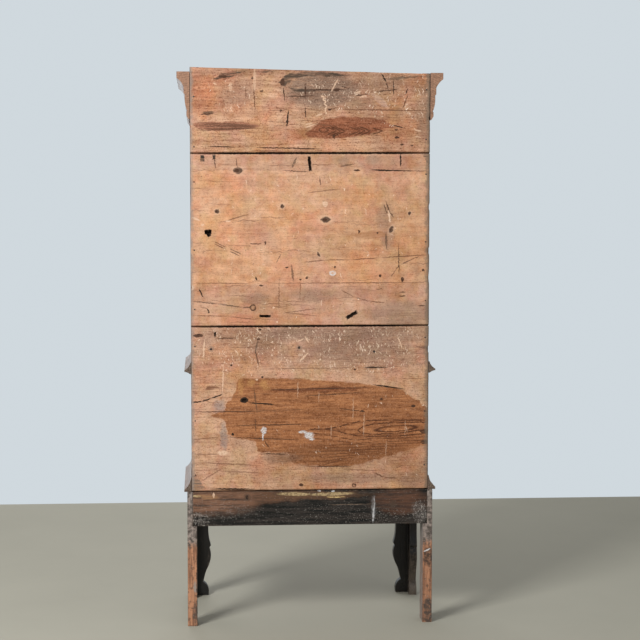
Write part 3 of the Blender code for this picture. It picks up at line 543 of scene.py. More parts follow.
MIDDLE_MARKS = (
    spots(INK, 0.9, {
        "peg hole left": (202.3, 158.2, 2.2, 3.4), "peg hole right": (213.9, 157, 1.7, 2.6)}, "box", 0.35)
    + knot("arrow knot", 238.0, 170.6, 5.6, 3.9, shape="lens")
    + knot("left knot", 217, 211.4, 2.6, 2.3)
    + knot("centre knot", 282.1, 206.4, 2.0, 2.4)
    + knot("diamond knot", 325.8, 219.7, 6.0, 3.3, shape="lens")
    + knot("leaning knot", 391.2, 229.6, 2.2, 3.9, turn=-25)
    + knot("right knot", 409.6, 213.4, 1.5, 2.2)
    + knot("low knot", 318.7, 254.5, 1.4, 2.8, turn=30)
    + lines(KNOT, 0.65, 0.75, {
        "tail of the peg hole": (214.4, 158, 215.4, 169), "arrow spike": (236.2, 158, 237.2, 169),
        "level line left": (283, 170.6, 309, 171.8), "level line right": (368, 170.2, 431, 171),
        "dash over it": (340, 166.4, 356, 163.6), "crinkle down": (385.5, 200, 389.4, 212),
        "crinkle left": (384, 204, 387, 214), "crinkle across": (388, 209, 394, 218),
        "pin line": (249, 243.7, 262, 243.7), "edge dash": (418, 305.6, 426, 305.4),
        "dash pair upper": (399, 292.2, 406, 292), "dash pair lower": (398, 296.2, 406, 295.8),
        "upright hair": (319.8, 176, 320.4, 186), "upright right": (398.6, 243, 399, 276),
        "low dash": (376, 289.6, 383, 288.4)})
    + lines(KNOT, 0.5, 0.7, {
        "twin scratch a": (214, 241.4, 227, 248), "twin scratch b": (214, 243.6, 226, 249.4),
        "twin scratch c": (229, 248.6, 243, 254.8), "twin scratch d": (229, 251, 240, 256),
        "scratch": (281, 254, 276, 263), "crack end": (415, 257.8, 419, 257)})
    + lines(CRACK, 0.9, 0.95, {
        "doubled line": (371, 170, 401, 170.6), "upright crack": (400.4, 153, 400.8, 167),
        "dark slash": (199, 288.6, 203.2, 297.4), "hook": (207.4, 308.4, 209.4, 313.4),
        "small slash": (255, 276.4, 257.2, 280.2)})
    + lines(BROWN, 0.6, 0.6, {
        "brown feather": (230, 219.4, 250, 213.8), "low feather": (218, 223, 240, 217),
        "hook arm": (200, 307, 208, 308.8), "orange line": (190, 283, 252, 283.4),
        "orange line right": (258, 283.2, 430, 282.6), "low line": (190, 315.4, 230, 316.4),
        "low line bending": (226, 316.2, 262, 320.4), "saw line left": (279.2, 278, 278.8, 311),
        "saw line right": (300.3, 281, 300, 302), "feather tip up": (283, 313, 318, 308.4),
        "feather tip down": (283, 312.6, 318, 315.8), "right arch": (306, 193, 342, 188.6)})
    + lines(SMUDGE, 1.2, 0.6, {
        "soft stroke": (297, 156.6, 291.6, 168.4), "grey streak down": (291.4, 264, 293.4, 282),
        "grey upright": (386, 232, 386.6, 250)})
    + spots(KNOT, 0.95, {
        "short dark dash": (357.2, 170.4, 3.2, 1.1), "pin dash": (265.4, 243, 0.8, 1.9),
        "rust dash": (261.3, 285.4, 2.4, 0.9), "dot by the curl": (335, 267, 1.2, 1.4),
        "black dot": (380, 275.9, 1.4, 1.4), "dot": (306.8, 277.7, 1.5, 1.4),
        "second dot": (300.4, 279.6, 1.1, 1.1), "third dot": (287, 267.4, 1.6, 0.9),
        "square stain": (402.4, 279.4, 1.7, 2.6), "rust in the patch": (359, 231.6, 1.0, 2.0),
        "speck in the patch": (377.6, 233, 1.2, 0.9), "edge speck": (423, 270, 1.4, 1.2)})
    + spots(KNOT, 0.95, {"ring knot": (253, 307.6, 2.7, 2.7)}, "ring", 0.5)
    + spots(PALE, 0.8, {
        "pale plug": (325.2, 204, 3.0, 3.2), "pale dash": (228.5, 221, 3.0, 1.1),
        "fleck at the left": (202.6, 225, 1.8, 1.0), "fleck over the slot": (273.6, 307.6, 1.2, 0.9),
        "fleck low": (277, 322, 1.4, 0.9), "fleck in the corner": (192, 288, 2.0, 2.6)})
    + lines(PALE, 1.1, 0.9, {
        "pale chip": (191, 217, 200.6, 220.8), "pale crinkle": (388.4, 210, 390.2, 223)})
    + path("long crack", [(303, 262.6), (326, 259.9), (351, 259.7), (380, 257.8), (428, 254.8)],
           0.6, BROWN, 0.75)
    + path("forked crack", [(416, 257.4), (400.4, 264.9), (396, 269.5), (391, 277)], 0.5, KNOT, 0.7)
    + path("curved scratch", [(340.5, 289.6), (354.8, 297.2), (369.7, 301.4), (385, 302.8)],
           0.55, BROWN, 0.75)
    + path("crack to the ring knot", [(192, 301.2), (218, 303.8), (243, 307.6), (251, 307.2)],
           0.7, SMUDGE, 0.7)
)
MIDDLE_PAINT = spots(CHALK, 0.95, {"white curl": (332.6, 273.2, 2.6, 1.9)}, "ring", 0.7)

# Bottom board

BOTTOM_REGIONS = [
    Region("stain",
           [(209, 416), (213, 413.4), (224, 410), (228, 401), (234, 393), (236, 383), (240, 378), (262, 377),
            (306, 378.5), (330, 379.5), (350, 381), (370, 383.5), (388, 386), (404, 389.5), (412, 396),
            (421, 402), (431, 412)],
           [(209, 416), (214, 418), (226, 424), (229, 436), (240, 440), (256, 443), (259, 453), (288, 454.4),
            (291, 463), (303, 466), (345, 467), (362, 464), (376, 461), (392, 456), (406, 451.5),
            (431, 445)],
           (0.492, 0.212, 0.089), (0.225, 0.083, 0.034), 0.96),
    Region("dark grain lens",
           [(264, 391), (272, 388.6), (290, 388), (312, 387), (335, 385.4), (355, 387), (374, 389.5)],
           [(264, 391), (280, 393), (300, 393.6), (330, 393.2), (352, 392), (374, 389.5)],
           (0.274, 0.102, 0.046), (0.115, 0.044, 0.022), 0.9),
]
BOTTOM_SMEARS = [
    Region("reddish lens left", [(202, 389), (210, 385), (226, 388)], [(202, 389), (210, 391), (226, 388)],
           (0.330, 0.160, 0.092), (0.170, 0.075, 0.042), 0.9),
    Region("brown left foot", [(190, 470), (195, 474), (206, 490)], [(190, 491), (195, 491), (206, 490)],
           (0.230, 0.165, 0.125), (0.120, 0.085, 0.062), 0.8),
    Region("wedge crack", [(410, 347), (420, 345.6), (431, 345.6)], [(410, 347), (420, 349.4), (431, 350.6)],
           (0.200, 0.090, 0.055), (0.060, 0.030, 0.020), 0.85),
]
BOTTOM_GREYS = (
    spots(GREYED, 0.6, {"dusky top": (320, 334, 122, 9)}, "box", 0.6)
    + spots(GREYED, 0.5, {
        "dusky right": (356, 346, 58, 18), "dusky left": (262, 340, 26, 16),
        "grey streak low": (282, 458, 24, 6), "grey right corner": (412, 480, 18, 10),
        "grey low": (350, 478, 60, 6)}, soft=0.8)
    + spots(BLUISH, 0.5, {
        "grey over the wedge": (219.5, 406, 7, 7), "bluish drip": (224, 437, 4, 18)}, soft=0.9)
    + spots(AMBER, 0.65, {
        "amber bump": (241, 387, 4, 9), "amber bump beside": (251, 383, 5, 5),
        "third amber bump": (264.5, 385, 5, 7)}, soft=0.9)
    + spots(STAIN_FOOT, 0.4, {"dark foot of the stain": (340, 457, 84, 14)}, soft=0.9)
)
BOTTOM_TONES = [
    spot("dull upper part", 310, 345, 130, 25, (0.90, 0.91, 0.97), shape="box", soft=0.3),
    spot("dull upper right", 372, 345, 64, 28, (0.93, 0.92, 0.91), soft=0.7),
    spot("dull foot", 330, 478, 90, 14, (0.93, 0.92, 0.89), soft=0.6),
    spot("brown right foot", 415, 470, 26, 26, (0.88, 0.86, 0.84), soft=0.7),
]

# Low grain lines of the stain: both ends of the first one, and how far the ends move from one to the next
LOW_LINES = 7
LOW_LEFT = (296, 445)
LOW_LEFT_STEP = (4, 3.4)
LOW_RIGHT = (424, 443.6)
LOW_RIGHT_STEP = (-13, 2.6)


def stepped(pixel, step, count):
    """A pixel moved by a number of steps."""
    return pixel[0] + step[0] * count, pixel[1] + step[1] * count


BOTTOM_MARKS = (
    spots(GREYED, 0.6, {
        "pale round left nail": (211, 349.1, 3.2, 3.2), "pale round centre nail": (299.3, 347.7, 3.2, 3.2)})
    + spots(CRACK, 1.0, {
        "left nail": (211, 349.1, 1.4, 1.4), "centre nail": (299.3, 347.7, 1.4, 1.4),
        "right nail": (374.2, 351.6, 1.4, 1.6), "bracket mark": (215, 334.5, 1.2, 3.0),
        "dot under the seam": (260, 329.6, 1.3, 0.9), "dot": (231.3, 365.3, 1.1, 1.0),
        "black knot": (244.3, 400.2, 4.2, 3.0), "black dot in the stain": (232.8, 434.3, 1.4, 1.4),
        "dot at the stain": (262.4, 377, 1.3, 1.0)})
    + spots(KNOT, 0.9, {
        "dark corner marks": (198, 335.6, 5.5, 1.8), "dark dash in the stain": (362.2, 411.2, 2.4, 1.1),
        "dark right edge": (425.5, 431.5, 6, 2), "low dark right edge": (425, 442, 5, 2.2),
        "low knot": (301.3, 485, 2.4, 1.6), "dot in the stain": (381.6, 399, 1.5, 1.5),
        "blot at the right": (413, 406, 2.2, 1.6), "left blot": (258.6, 339, 1.4, 1.0),
        "right blot": (355, 369.4, 1.4, 0.9)})
    + lines(CRACK, 0.85, 0.95, {
        "level crack": (362, 367.4, 389, 367.4), "dark bottom line": (211, 488.6, 256, 489.4),
        "line beside the knot": (248, 402.6, 276, 404.8),
        "dark top edge of the stain": (372, 384.4, 406, 389.4)})
    + lines(KNOT, 0.65, 0.75, {
        "dark line": (215, 338.2, 238, 338.3), "drip end": (255.2, 350, 258.6, 366),
        "upper edge of the grain lens": (264, 389.4, 372, 388),
        "low edge of the grain lens": (298, 396.4, 364, 392.4), "left level line": (190, 411.8, 268, 411.4),
        "line in the stain": (228, 425.4, 310, 424.4), "low line in the stain": (226, 437, 304, 440.4),
        "upright in the stain": (255.2, 418, 255.8, 432), "slant in the stain": (264, 440, 270, 449),
        "line left of the dash": (339, 408.6, 362, 411.2), "stain foot": (303, 466.4, 356, 466.4),
        "step of the stain": (258, 453.6, 290, 454.4)})
    + lines(BROWN, 0.6, 0.55, {
        "level line": (262, 368.4, 368, 368), "left low line": (190, 440, 220, 437.4),
        "left lowest line": (194, 454.5, 224, 454), "diagonal line": (224.5, 467, 200, 482),
        "low mark right": (395, 468.4, 403, 464.8), "low grain right": (342, 468.6, 386, 471.6),
        "left grain": (196, 462, 262, 466), "long left grain": (218, 471, 262, 473)})
    + lines(SMUDGE, 1.0, 0.55, {
        "grey drip": (258.4, 338, 254.8, 355), "run under the patch": (253.6, 386, 257.4, 414)})
    + lines(PALE, 0.8, 0.75, {
        "upright scrape left": (204.6, 338, 203, 360), "upright scrape": (223.6, 364, 222.4, 394),
        "arc": (299, 362, 309, 352), "second arc": (296.6, 342, 304, 338.6),
        "third arc": (304.6, 336, 309, 343), "right arc": (397.6, 336, 402.4, 349)})
    + path("left crack", [(192.4, 402.6), (202, 401.5), (211, 398.4), (222.6, 394.2)], 0.85, CRACK, 1.0)
    + path("low curl", [(375, 472.8), (384, 477.4), (396, 477.8)], 0.7, BROWN, 0.9)
    + spots(KNOT, 0.9, {"small ring knot": (354, 485.4, 1.7, 1.6)}, "ring", 0.55)
    + [spot("eye", 396, 428.6, 20, 3.0, STAIN_GRAIN, 0.95, 4, "ring", 0.32)]
    + path("nose of the eye",
           [(430, 422.2), (395, 422.4), (375, 423.6), (364, 426.2), (357.5, 430), (361, 433), (372, 434.4),
            (395, 433.5), (430, 428.8)], 0.75, STAIN_GRAIN, 0.95)
    + path("outer nose",
           [(308, 429.2), (324, 429), (338, 427), (350, 423.6), (362, 421), (390, 420), (430, 420.4)],
           0.75, STAIN_GRAIN, 0.9)
    + path("lower arm", [(324, 429), (336, 430.6), (348, 434), (362, 436.4), (395, 436), (430, 433.4)],
           0.7, STAIN_GRAIN, 0.9)
    + path("third grain line",
           [(304, 432.4), (322, 434), (340, 437.5), (354, 440), (374, 438.6), (430, 437)],
           0.55, STAIN_GRAIN, 0.8)
    + [line(f"low grain line {i}", stepped(LOW_LEFT, LOW_LEFT_STEP, i),
            stepped(LOW_RIGHT, LOW_RIGHT_STEP, i), 0.5, STAIN_GRAIN, 0.6) for i in range(LOW_LINES)]
    + path("fourth grain line", [(312, 438), (335, 440.6), (354, 443.4), (380, 441.8), (430, 440)],
           0.5, STAIN_GRAIN, 0.7)
    + lines(PALE, 0.45, 0.4, {
        "pale upright in the stain": (353.4, 396, 353, 420), "second pale upright": (364, 412, 363.6, 438),
        "third pale upright": (386.4, 440, 385.6, 456),
        "upright at the top of the stain": (298, 380, 297.6, 399), "short upright": (319, 392, 318.6, 403),
        "upright by the nose": (331.4, 424, 331, 440), "upright at the eye": (405.4, 420, 405, 436)})
)
BOTTOM_PAINT = (
    spots(CHALK, 0.95, {
        "first paint spot": (263.8, 430.4, 3.2, 4.2), "tail of the paint spot": (262.8, 437, 1.0, 4.6),
        "second paint spot": (309, 435.4, 5.4, 4.0), "arm of the paint spot": (303, 432, 5.0, 1.6),
        "foot of the paint spot": (312, 439, 3.4, 1.6)}, soft=0.8)
    + spots(PALE, 1.0, {
        "cream patch": (222.5, 453, 6, 2.8), "fleck over the stain": (257, 379.6, 1.6, 1.0)}, soft=0.6)
)

# Where each board is scraped

TOP_SCRAPES = [
    spot("scraped centre", 340, 94, 46, 22, PALE, 0.7, soft=0.6),
    spot("scraped right", 398, 98, 34, 34, PALE, 0.6, soft=0.6),
    spot("scraped left", 230, 94, 40, 22, PALE, 0.22, soft=0.6),
]
MIDDLE_SCRAPES = [spot("scraped middle", 310, 240, 120, 90, PALE, 0.10, soft=0.6)]
BOTTOM_SCRAPES = [
    spot("scraped top", 312, 350, 122, 26, PALE, 1.0, shape="box", soft=0.4),
    spot("scraped stain", 330, 445, 96, 26, PALE, 0.12, soft=0.6),
    spot("scraped right", 400, 430, 40, 56, PALE, 0.10, soft=0.6),
]

# Raw pine of the back boards

Look = namedtuple("Look", "light dark pith rings streaks veins fibres speckle")
Board = namedtuple("Board", "node look tones regions greys smears marks paint scrapes")
BOARDS = [
    Board("back_board_top",
          Look(light=(0.712, 0.436, 0.288), dark=(0.426, 0.227, 0.138), pith=(0.0, 0.14, 1.735),
               rings=0.25, streaks=0.55, veins=0.60, fibres=0.45, speckle=0.95),
          TOP_TONES, TOP_REGIONS, TOP_GREYS, TOP_SMEARS, TOP_MARKS, [], TOP_SCRAPES),
    Board("back_board_middle",
          Look(light=(0.738, 0.448, 0.290), dark=(0.512, 0.274, 0.161), pith=(0.0, 0.12, 1.16),
               rings=0.12, streaks=0.30, veins=0.16, fibres=0.20, speckle=0.55),
          MIDDLE_TONES, [], MIDDLE_GREYS, MIDDLE_SMEARS, MIDDLE_MARKS, MIDDLE_PAINT, MIDDLE_SCRAPES),
    Board("back_board_bottom",
          Look(light=(0.732, 0.454, 0.300), dark=(0.480, 0.279, 0.176), pith=(0.0, 0.15, 0.66),
               rings=0.25, streaks=0.40, veins=0.50, fibres=0.45, speckle=0.85),
          BOTTOM_TONES, BOTTOM_REGIONS, BOTTOM_GREYS, BOTTOM_SMEARS, BOTTOM_MARKS, BOTTOM_PAINT,
          BOTTOM_SCRAPES),
]

# How far each set of scrapes leans from upright, in degrees, and its length
SCRAPES = ((3.0, 0.075), (34.0, 0.06), (-38.0, 0.06), (-14.0, 0.15))
SCRAPE_GAP = 0.011
SCRAPE_THICK = 0.105

# Hair splits along the boards
SPLIT_LEANS = (89.0, 92.5)
SPLIT_GAP = 0.012
SPLIT_LENGTH = 0.55
SPLIT_SHARE = 0.30

BOARD_RING_GAP = 0.0125
BOARD_SWAY = 0.06
PLANED = (0.88, 0.86, 0.85)
BLOTCHED = (0.66, 0.58, 0.54)

Tint = namedtuple("Tint", "name shift scale colour strength")
MOTTLING = [
    Tint("warm", 0.0, 7.0, (1.02, 0.90, 0.80), 0.85),
    Tint("pink", 1.3, 14.0, (0.97, 0.87, 0.92), 0.90),
    Tint("tan", 2.6, 19.0, (0.90, 0.92, 0.80), 0.85),
    Tint("grey", 3.9, 30.0, (0.82, 0.81, 0.82), 0.70),
    Tint("light", 5.2, 24.0, (1.12, 1.15, 1.16), 0.90),
    Tint("rust", 6.5, 40.0, (0.96, 0.82, 0.70), 0.60),
]


def mottled(shade, colour):
    """Broad uneven tints, each from its own soft noise."""
    for tint in MOTTLING:
        shifted = shade.vector("ADD", shade.place, (tint.shift, 0.0, tint.shift))
        cloud = shade.noise(shifted, tint.scale, 4.0, 0.6)
        mask = shade.smooth(cloud, 0.45, 0.66, 0.0, tint.strength)
        colour = shade.mix(mask, colour, tint.colour, "MULTIPLY")
    return colour


def fine_grain(shade, colour, grain, look):
    """Dark clouds, veins, fibres and speckles over the broad tints of raw pine."""
    cloud = shade.noise(shade.vector("MULTIPLY", shade.place, (0.3, 1.0, 1.0)), 24.0, 5.0, 0.65)
    speckle = shade.noise(shade.place, 230.0, 3.0, 0.7)
    ticks = shade.noise(shade.vector("MULTIPLY", shade.place, (0.3, 1.0, 1.0)), 250.0, 2.0)
    layers = [
        (shade.smooth(cloud, 0.42, 0.70, 0.0, 0.9 * look.speckle), (0.74, 0.70, 0.68)),
        (shade.math("MULTIPLY", grain.veins, look.veins), (0.60, 0.50, 0.45)),
        (shade.smooth(grain.fibres, 0.40, 0.66, 0.0, look.fibres), (0.74, 0.68, 0.64)),
        (shade.smooth(speckle, 0.52, 0.66, 0.0, look.speckle), (0.60, 0.51, 0.46)),
        (shade.smooth(ticks, 0.58, 0.70, 0.0, look.speckle), (0.52, 0.43, 0.38)),
    ]
    for mask, tint in layers:
        colour = shade.mix(mask, colour, tint, "MULTIPLY")
    return shade.mix(shade.smooth(speckle, 0.30, 0.42, 0.30 * look.speckle, 0.0), colour, PALE)


def scraped_wood(shade, colour, plane, scrapes, broken):
    """Pale nicks and short strokes, in clusters where the board is scraped."""
    clusters = shade.smooth(shade.noise(shade.place, 26.0, 2.0), 0.38, 0.60)
    scraped = shade.math("MULTIPLY", union(shade, plane, scrapes), clusters)
    for lean, length in SCRAPES:
        strokes = flecks(shade, plane, SCRAPE_GAP, length, lean, scraped, SCRAPE_THICK)
        colour = shade.mix(shade.math("MULTIPLY", strokes, broken), colour, SCRAPED)
    upright = shade.vector("MULTIPLY", shade.place, (1.0, 1.0, 0.4))
    nicks = shade.smooth(shade.noise(upright, 190.0, 2.0), 0.62, 0.70)
    return shade.mix(shade.math("MULTIPLY", nicks, scraped), colour, SCRAPED)


def clean_wood(shade, grain, look):
    """Raw pine without marks: grain, plane strokes and broad tints."""
    streaks = shade.smooth(grain.streaks, 0.28, 0.72, 0.0, look.streaks)
    colour = shade.mix(shade.math("MULTIPLY_ADD", grain.rings, look.rings, streaks), look.light, look.dark)
    planed = shade.noise(shade.vector("MULTIPLY", shade.place, (1.0, 1.0, 0.12)), 75.0, 2.0, 0.6)
    colour = shade.mix(shade.smooth(planed, 0.5, 0.7, 0.0, 0.5), colour, PLANED, "MULTIPLY")
    return mottled(shade, colour)


def stained_wood(shade, colour, plane, grain, regions):
    """Stained regions, darker along the grain and blotched."""
    stain_lines = shade.smooth(grain.streaks, 0.38, 0.62, 0.0, 0.5)
    stain_lines = shade.math("MULTIPLY_ADD", grain.veins, 0.5, stain_lines)
    blotches = shade.smooth(shade.noise(shade.place, 70.0, 5.0, 0.7), 0.46, 0.66, 0.0, 0.7)
    for region in regions:
        stained = shade.mix(stain_lines, region.light, region.dark)
        stained = shade.mix(blotches, stained, BLOTCHED, "MULTIPLY")
        colour = shade.mix(region_mask(shade, plane, region), colour, stained)
    return colour


def split_wood(shade, colour, plane):
    """Hair splits that run along a board."""
    for lean in SPLIT_LEANS:
        hairline = flecks(shade, plane, SPLIT_GAP, SPLIT_LENGTH, lean, SPLIT_SHARE)
        colour = shade.mix(shade.math("MULTIPLY", hairline, 0.8), colour, BROWN)
    return colour


def smeared_wood(shade, colour, plane, grain, smears, streaky):
    """Dirt smeared along the grain."""
    for region in smears:
        mask = shade.math("MULTIPLY", region_mask(shade, plane, region), streaky)
        colour = shade.mix(mask, colour, shade.mix(grain.streaks, region.light, region.dark))
    return colour


def hole_shadows(shade, colour, plane, node):
    """Painted shade in the holes of one board."""
    for hole in HOLES:
        if hole.node == node:
            place = (hole.column, hole.row, hole.half_wide, hole.half_high)
            dark = spot(hole.name, *place, CRACK, 1.0, hole.turn, "box", 0.2)
            colour = shade.mix(mark_mask(shade, plane, dark), colour, CRACK)
    return colour


# Worn borders at both ends of the back boards, in metres
WEATHER_REACH = 0.026
WEATHER_MORE_AT_RIGHT = 0.010
WEATHER_FADE = (-0.014, 0.002)
WEATHER_PALE = (0.290, 0.235, 0.200)
WEATHER_DARK = (0.190, 0.140, 0.102)
RIM_REACH = 0.006
RIM_FADE = (-0.003, 0.0)


def edge_weather(shade, colour):
    """Ragged worn borders at a board's ends: pale grey at the photo's left, dark at its right."""
    x = shade.split(shade.place)[0]
    at_right = shade.math("LESS_THAN", x, 0.0)
    inset = shade.math("SUBTRACT", HALF_WIDTH, shade.math("ABSOLUTE", x))
    ragged = shade.noise(shade.vector("MULTIPLY", shade.place, (1.0, 1.0, 0.6)), 60.0, 5.0, 0.75)
    reach = shade.math("MULTIPLY_ADD", at_right, WEATHER_MORE_AT_RIGHT, WEATHER_REACH)
    border = shade.math("SUBTRACT", inset, shade.math("MULTIPLY", ragged, reach))
    worn = shade.mix(at_right, WEATHER_PALE, WEATHER_DARK)
    colour = shade.mix(shade.smooth(border, *WEATHER_FADE, 0.85, 0.0), colour, worn)
    rim = shade.math("MULTIPLY_ADD", ragged, -RIM_REACH, inset)
    return shade.mix(shade.smooth(rim, *RIM_FADE, 0.8, 0.0), colour, SMUDGE)


def board_material(board):
    """Raw pine of one back board, with its tones, stains, grey weathering, scratches and marks."""
    look = board.look
    shade = Shade(board.node + "_wood")
    grain = pine_grain(shade, "x", BOARD_RING_GAP, look.pith, BOARD_SWAY)
    loose = back_plane(shade, shake=0.017, scale=42.0)
    tight = back_plane(shade, shake=0.006, scale=140.0)
    along = shade.vector("MULTIPLY", shade.place, (0.10, 1.0, 1.0))
    broken = shade.smooth(shade.noise(along, 300.0, 3.0, 0.65), 0.30, 0.52, 0.50, 1.15)
    streaky = shade.smooth(shade.noise(along, 150.0, 4.0, 0.7), 0.34, 0.60, 0.22, 1.25)
    ragged = shade.smooth(shade.noise(shade.place, 230.0, 3.0, 0.75), 0.38, 0.54, 0.15, 1.0)
    clean = clean_wood(shade, grain, look)
    colour = add_marks(shade, clean, loose, board.tones, 1.0, "MULTIPLY")
    colour = stained_wood(shade, colour, loose, grain, board.regions)
    colour = add_marks(shade, colour, loose, board.greys, broken)
    colour = fine_grain(shade, colour, grain, look)
    colour = scraped_wood(shade, colour, loose, board.scrapes, broken)
    colour = split_wood(shade, colour, loose)
    pits = shade.smooth(shade.noise(tight, 170.0, 2.0), 0.69, 0.76, 0.0, 0.8)
    colour = shade.mix(pits, colour, KNOT)
    colour = smeared_wood(shade, colour, loose, grain, board.smears, streaky)
    colour = add_marks(shade, colour, tight, board.marks, broken)
    colour = add_marks(shade, colour, tight, board.paint, ragged)
    # Painted shade in the slots between the boards
    colour = add_marks(shade, colour, tight, SEAM_SHADOW_MARKS, 1.0)
    # Painted shade in the holes
    colour = hole_shadows(shade, colour, tight, board.node)
    colour = edge_weather(shade, colour)
    inward = shade.smooth(shade.facing(1), -0.8, -0.3, 1.0, 0.0)
    colour = shade.mix(inward, colour, clean)
    height = shade.math("SUBTRACT", grain_height(shade, grain), pits)
    rough = shade.smooth(grain.mottle, 0.3, 0.7, 0.72, 0.88)
    return shade.finish(colour, rough, height, RELIEF, specular=0.15)


def dress(obj, material):
    obj.data.materials.clear()
    obj.data.materials.append(material)


# Back boards as worn planks with real holes, sizes in metres

STEP = 0.009
EDGE_STEPS = (0.0, 0.0012, 0.003, 0.006)
EDGE_ROUND = 0.0030
EDGE_DROP = 0.8
WAVE = 0.0007
WOBBLE = 0.0011
AT_END = 0.001

# Waves to the metre on a board's face, along its arrises, along its edges and down its ends
FACE_WAVES = 14.0
ARRIS_WAVES = 25.0
EDGE_WAVES = 30.0
END_WAVES = 45.0

# Places in the noise that give each end and the upper edge a line of their own
WAVE_DEPTH = 3.7
UPPER_EDGE_SHIFT = 7.0
END_SHIFT = {"left": 5.0, "right": 9.0}

Chip = namedtuple("Chip", "name side column row half_high depth")
CHIPS = [
    Chip("middle right upper", "right", 428, 207, 2.0, 0.004),
    Chip("middle right lower", "right", 428, 251, 2.4, 0.005),
    Chip("middle right low", "right", 428, 276, 6.0, 0.002),
    Chip("middle left", "left", 190, 287, 2.0, 0.004),
    Chip("middle left upper", "left", 190, 192, 4.0, 0.0025),
    Chip("bottom right", "right", 428, 349, 1.6, 0.007),
    Chip("bottom left", "left", 192, 403, 1.5, 0.003),
    Chip("top right", "right", 430, 118, 2.5, 0.003),
    Chip("top left", "left", 190, 126, 1.6, 0.004),
]


def wave_at(x, z, scale):
    """Smooth unevenness from 0 to 1."""
    return 0.5 + 0.5 * noise.noise(Vector((x * scale, WAVE_DEPTH, z * scale)))


def steps_between(low, high):
    """Places from low to high, close together near both ends."""
    count = round((high - low) / STEP)
    inner = [low + (high - low) * i / count for i in range(1, count)]
    first, last = low + EDGE_STEPS[-1], high - EDGE_STEPS[-1]
    return ([low + step for step in EDGE_STEPS] + [place for place in inner if first < place < last]
            + [high - step for step in reversed(EDGE_STEPS)])


def end_heights(node, x):
    """Lower and upper height of a board at one of its ends."""
    heights = [v.co.z for v in NODES[node].data.vertices if abs(v.co.x - x) < AT_END]
    return min(heights), max(heights)


SEAM_GAP = end_heights("back_board_top", HALF_WIDTH)[0] - end_heights("back_board_middle", HALF_WIDTH)[1]
SEAM_LAP = SEAM_GAP / 2 + WOBBLE


def seam_shadow_mark(upper, lower):
    """Painted shade in the slot between two back boards."""
    ends = (HALF_WIDTH, -HALF_WIDTH)
    left, right = ((end_heights(upper, x)[0] + end_heights(lower, x)[1]) / 2 for x in ends)
    at, reach = (0.0, (left + right) / 2), (HALF_WIDTH, SEAM_LAP)
    turn = math.atan2(right - left, 2 * HALF_WIDTH)
    return Mark(f"slot under {upper}", at, reach, turn, "box", 0.35, CRACK, 1.0)


# Painted shade along the slots between the back boards
SEAM_SHADOW_MARKS = [seam_shadow_mark("back_board_top", "back_board_middle"),
              seam_shadow_mark("back_board_middle", "back_board_bottom")]


def end_wear(z, side):
    """How far a board's end is worn back at a height."""
    worn = WOBBLE * wave_at(END_SHIFT[side], z, END_WAVES)
    for chip in CHIPS:
        if chip.side == side:
            away = (z - under_pixel(chip.column, chip.row).z) / (chip.half_high * PIXEL)
            worn += chip.depth * math.exp(-away * away)
    return worn


def join_rings(work, first, second):
    """Faces between two rings of points."""
    for i in range(len(first)):
        j = (i + 1) % len(first)
        work.faces.new((first[j], first[i], second[i], second[j]))


def turns(count):
    """Angles spread evenly over a full turn."""
    return [2 * math.pi * i / count for i in range(count)]


def face_grid(work, node):
    """Rows of points on the outer face of a board, wavy, with rounded arrises and worn ends."""
    low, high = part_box(node)
    low_ends, high_ends = end_heights(node, low.x), end_heights(node, high.x)
    mean_height = (low_ends[1] - low_ends[0] + high_ends[1] - high_ends[0]) / 2
    columns = steps_between(0.0, high.x - low.x)
    rows = steps_between(0.0, mean_height)
    grid = []
    for up in rows:
        strip = []
        for across in columns:
            share, rise = across / columns[-1], up / rows[-1]
            bottom = low_ends[0] + (high_ends[0] - low_ends[0]) * share
            top = low_ends[1] + (high_ends[1] - low_ends[1]) * share
            bottom += WOBBLE * wave_at(across, bottom, EDGE_WAVES)
            top -= WOBBLE * wave_at(across + UPPER_EDGE_SHIFT, top, EDGE_WAVES)
            z = bottom + (top - bottom) * rise
            x = low.x + across + end_wear(z, "right") * (1 - share) - end_wear(z, "left") * share
            border = min(across, columns[-1] - across, up, rows[-1] - up)
            inset = max(0.0, EDGE_ROUND * (0.5 + wave_at(x, z, ARRIS_WAVES)) - border)
            dip = WAVE * wave_at(x, z, FACE_WAVES) * min(1.0, border / STEP)
            y = high.y - inset * EDGE_DROP - dip
            strip.append(work.verts.new((x, y, z)))
        grid.append(strip)
    return grid


def board_mesh(node):
    """A closed plank in the place of a CAD back board."""
    work = bmesh.new()
    grid = face_grid(work, node)
    for lower, upper in zip(grid, grid[1:]):
        for i in range(len(lower) - 1):
            work.faces.new((lower[i + 1], lower[i], upper[i], upper[i + 1]))
    ring = grid[0] + [s[-1] for s in grid[1:-1]] + grid[-1][::-1] + [s[0] for s in grid[-2:0:-1]]
    inner_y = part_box(node)[0].y
    inner = [work.verts.new((v.co.x, inner_y, v.co.z + lap_at(node, v, grid))) for v in ring]
    join_rings(work, inner, ring)
    work.faces.new(inner)
    bmesh.ops.recalc_face_normals(work, faces=work.faces)
    return mesh_of(work, node + "_worn")


def lap_at(node, vert, grid):
    """How far the hidden inner edge of a board reaches over a seam, so that no light shows through."""
    if vert in grid[0] and node != "back_board_bottom":
        return -SEAM_LAP
    if vert in grid[-1] and node != "back_board_top":
        return SEAM_LAP
    return 0.0


def mesh_of(work, name):
    mesh = bpy.data.meshes.new(name)
    work.to_mesh(mesh)
    work.free()
    return mesh


def add_piece(name, mesh, body):
    """Links a piece that rides on a body."""
    piece = bpy.data.objects.new(name, mesh)
    bpy.context.scene.collection.objects.link(piece)
    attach(piece, body)
    return piece


HOLE_BLUNT = 0.6
HOLE_RAGGED = (0.85, 1.12)
HOLE_TAPER = 0.7
CUT_PROUD = 0.004
SHARP_ANGLE = math.radians(50)


def squared(value):
    """A sine or cosine pushed outwards, so that the oval it makes has blunt ends."""
    return math.copysign(abs(value) ** HOLE_BLUNT, value)


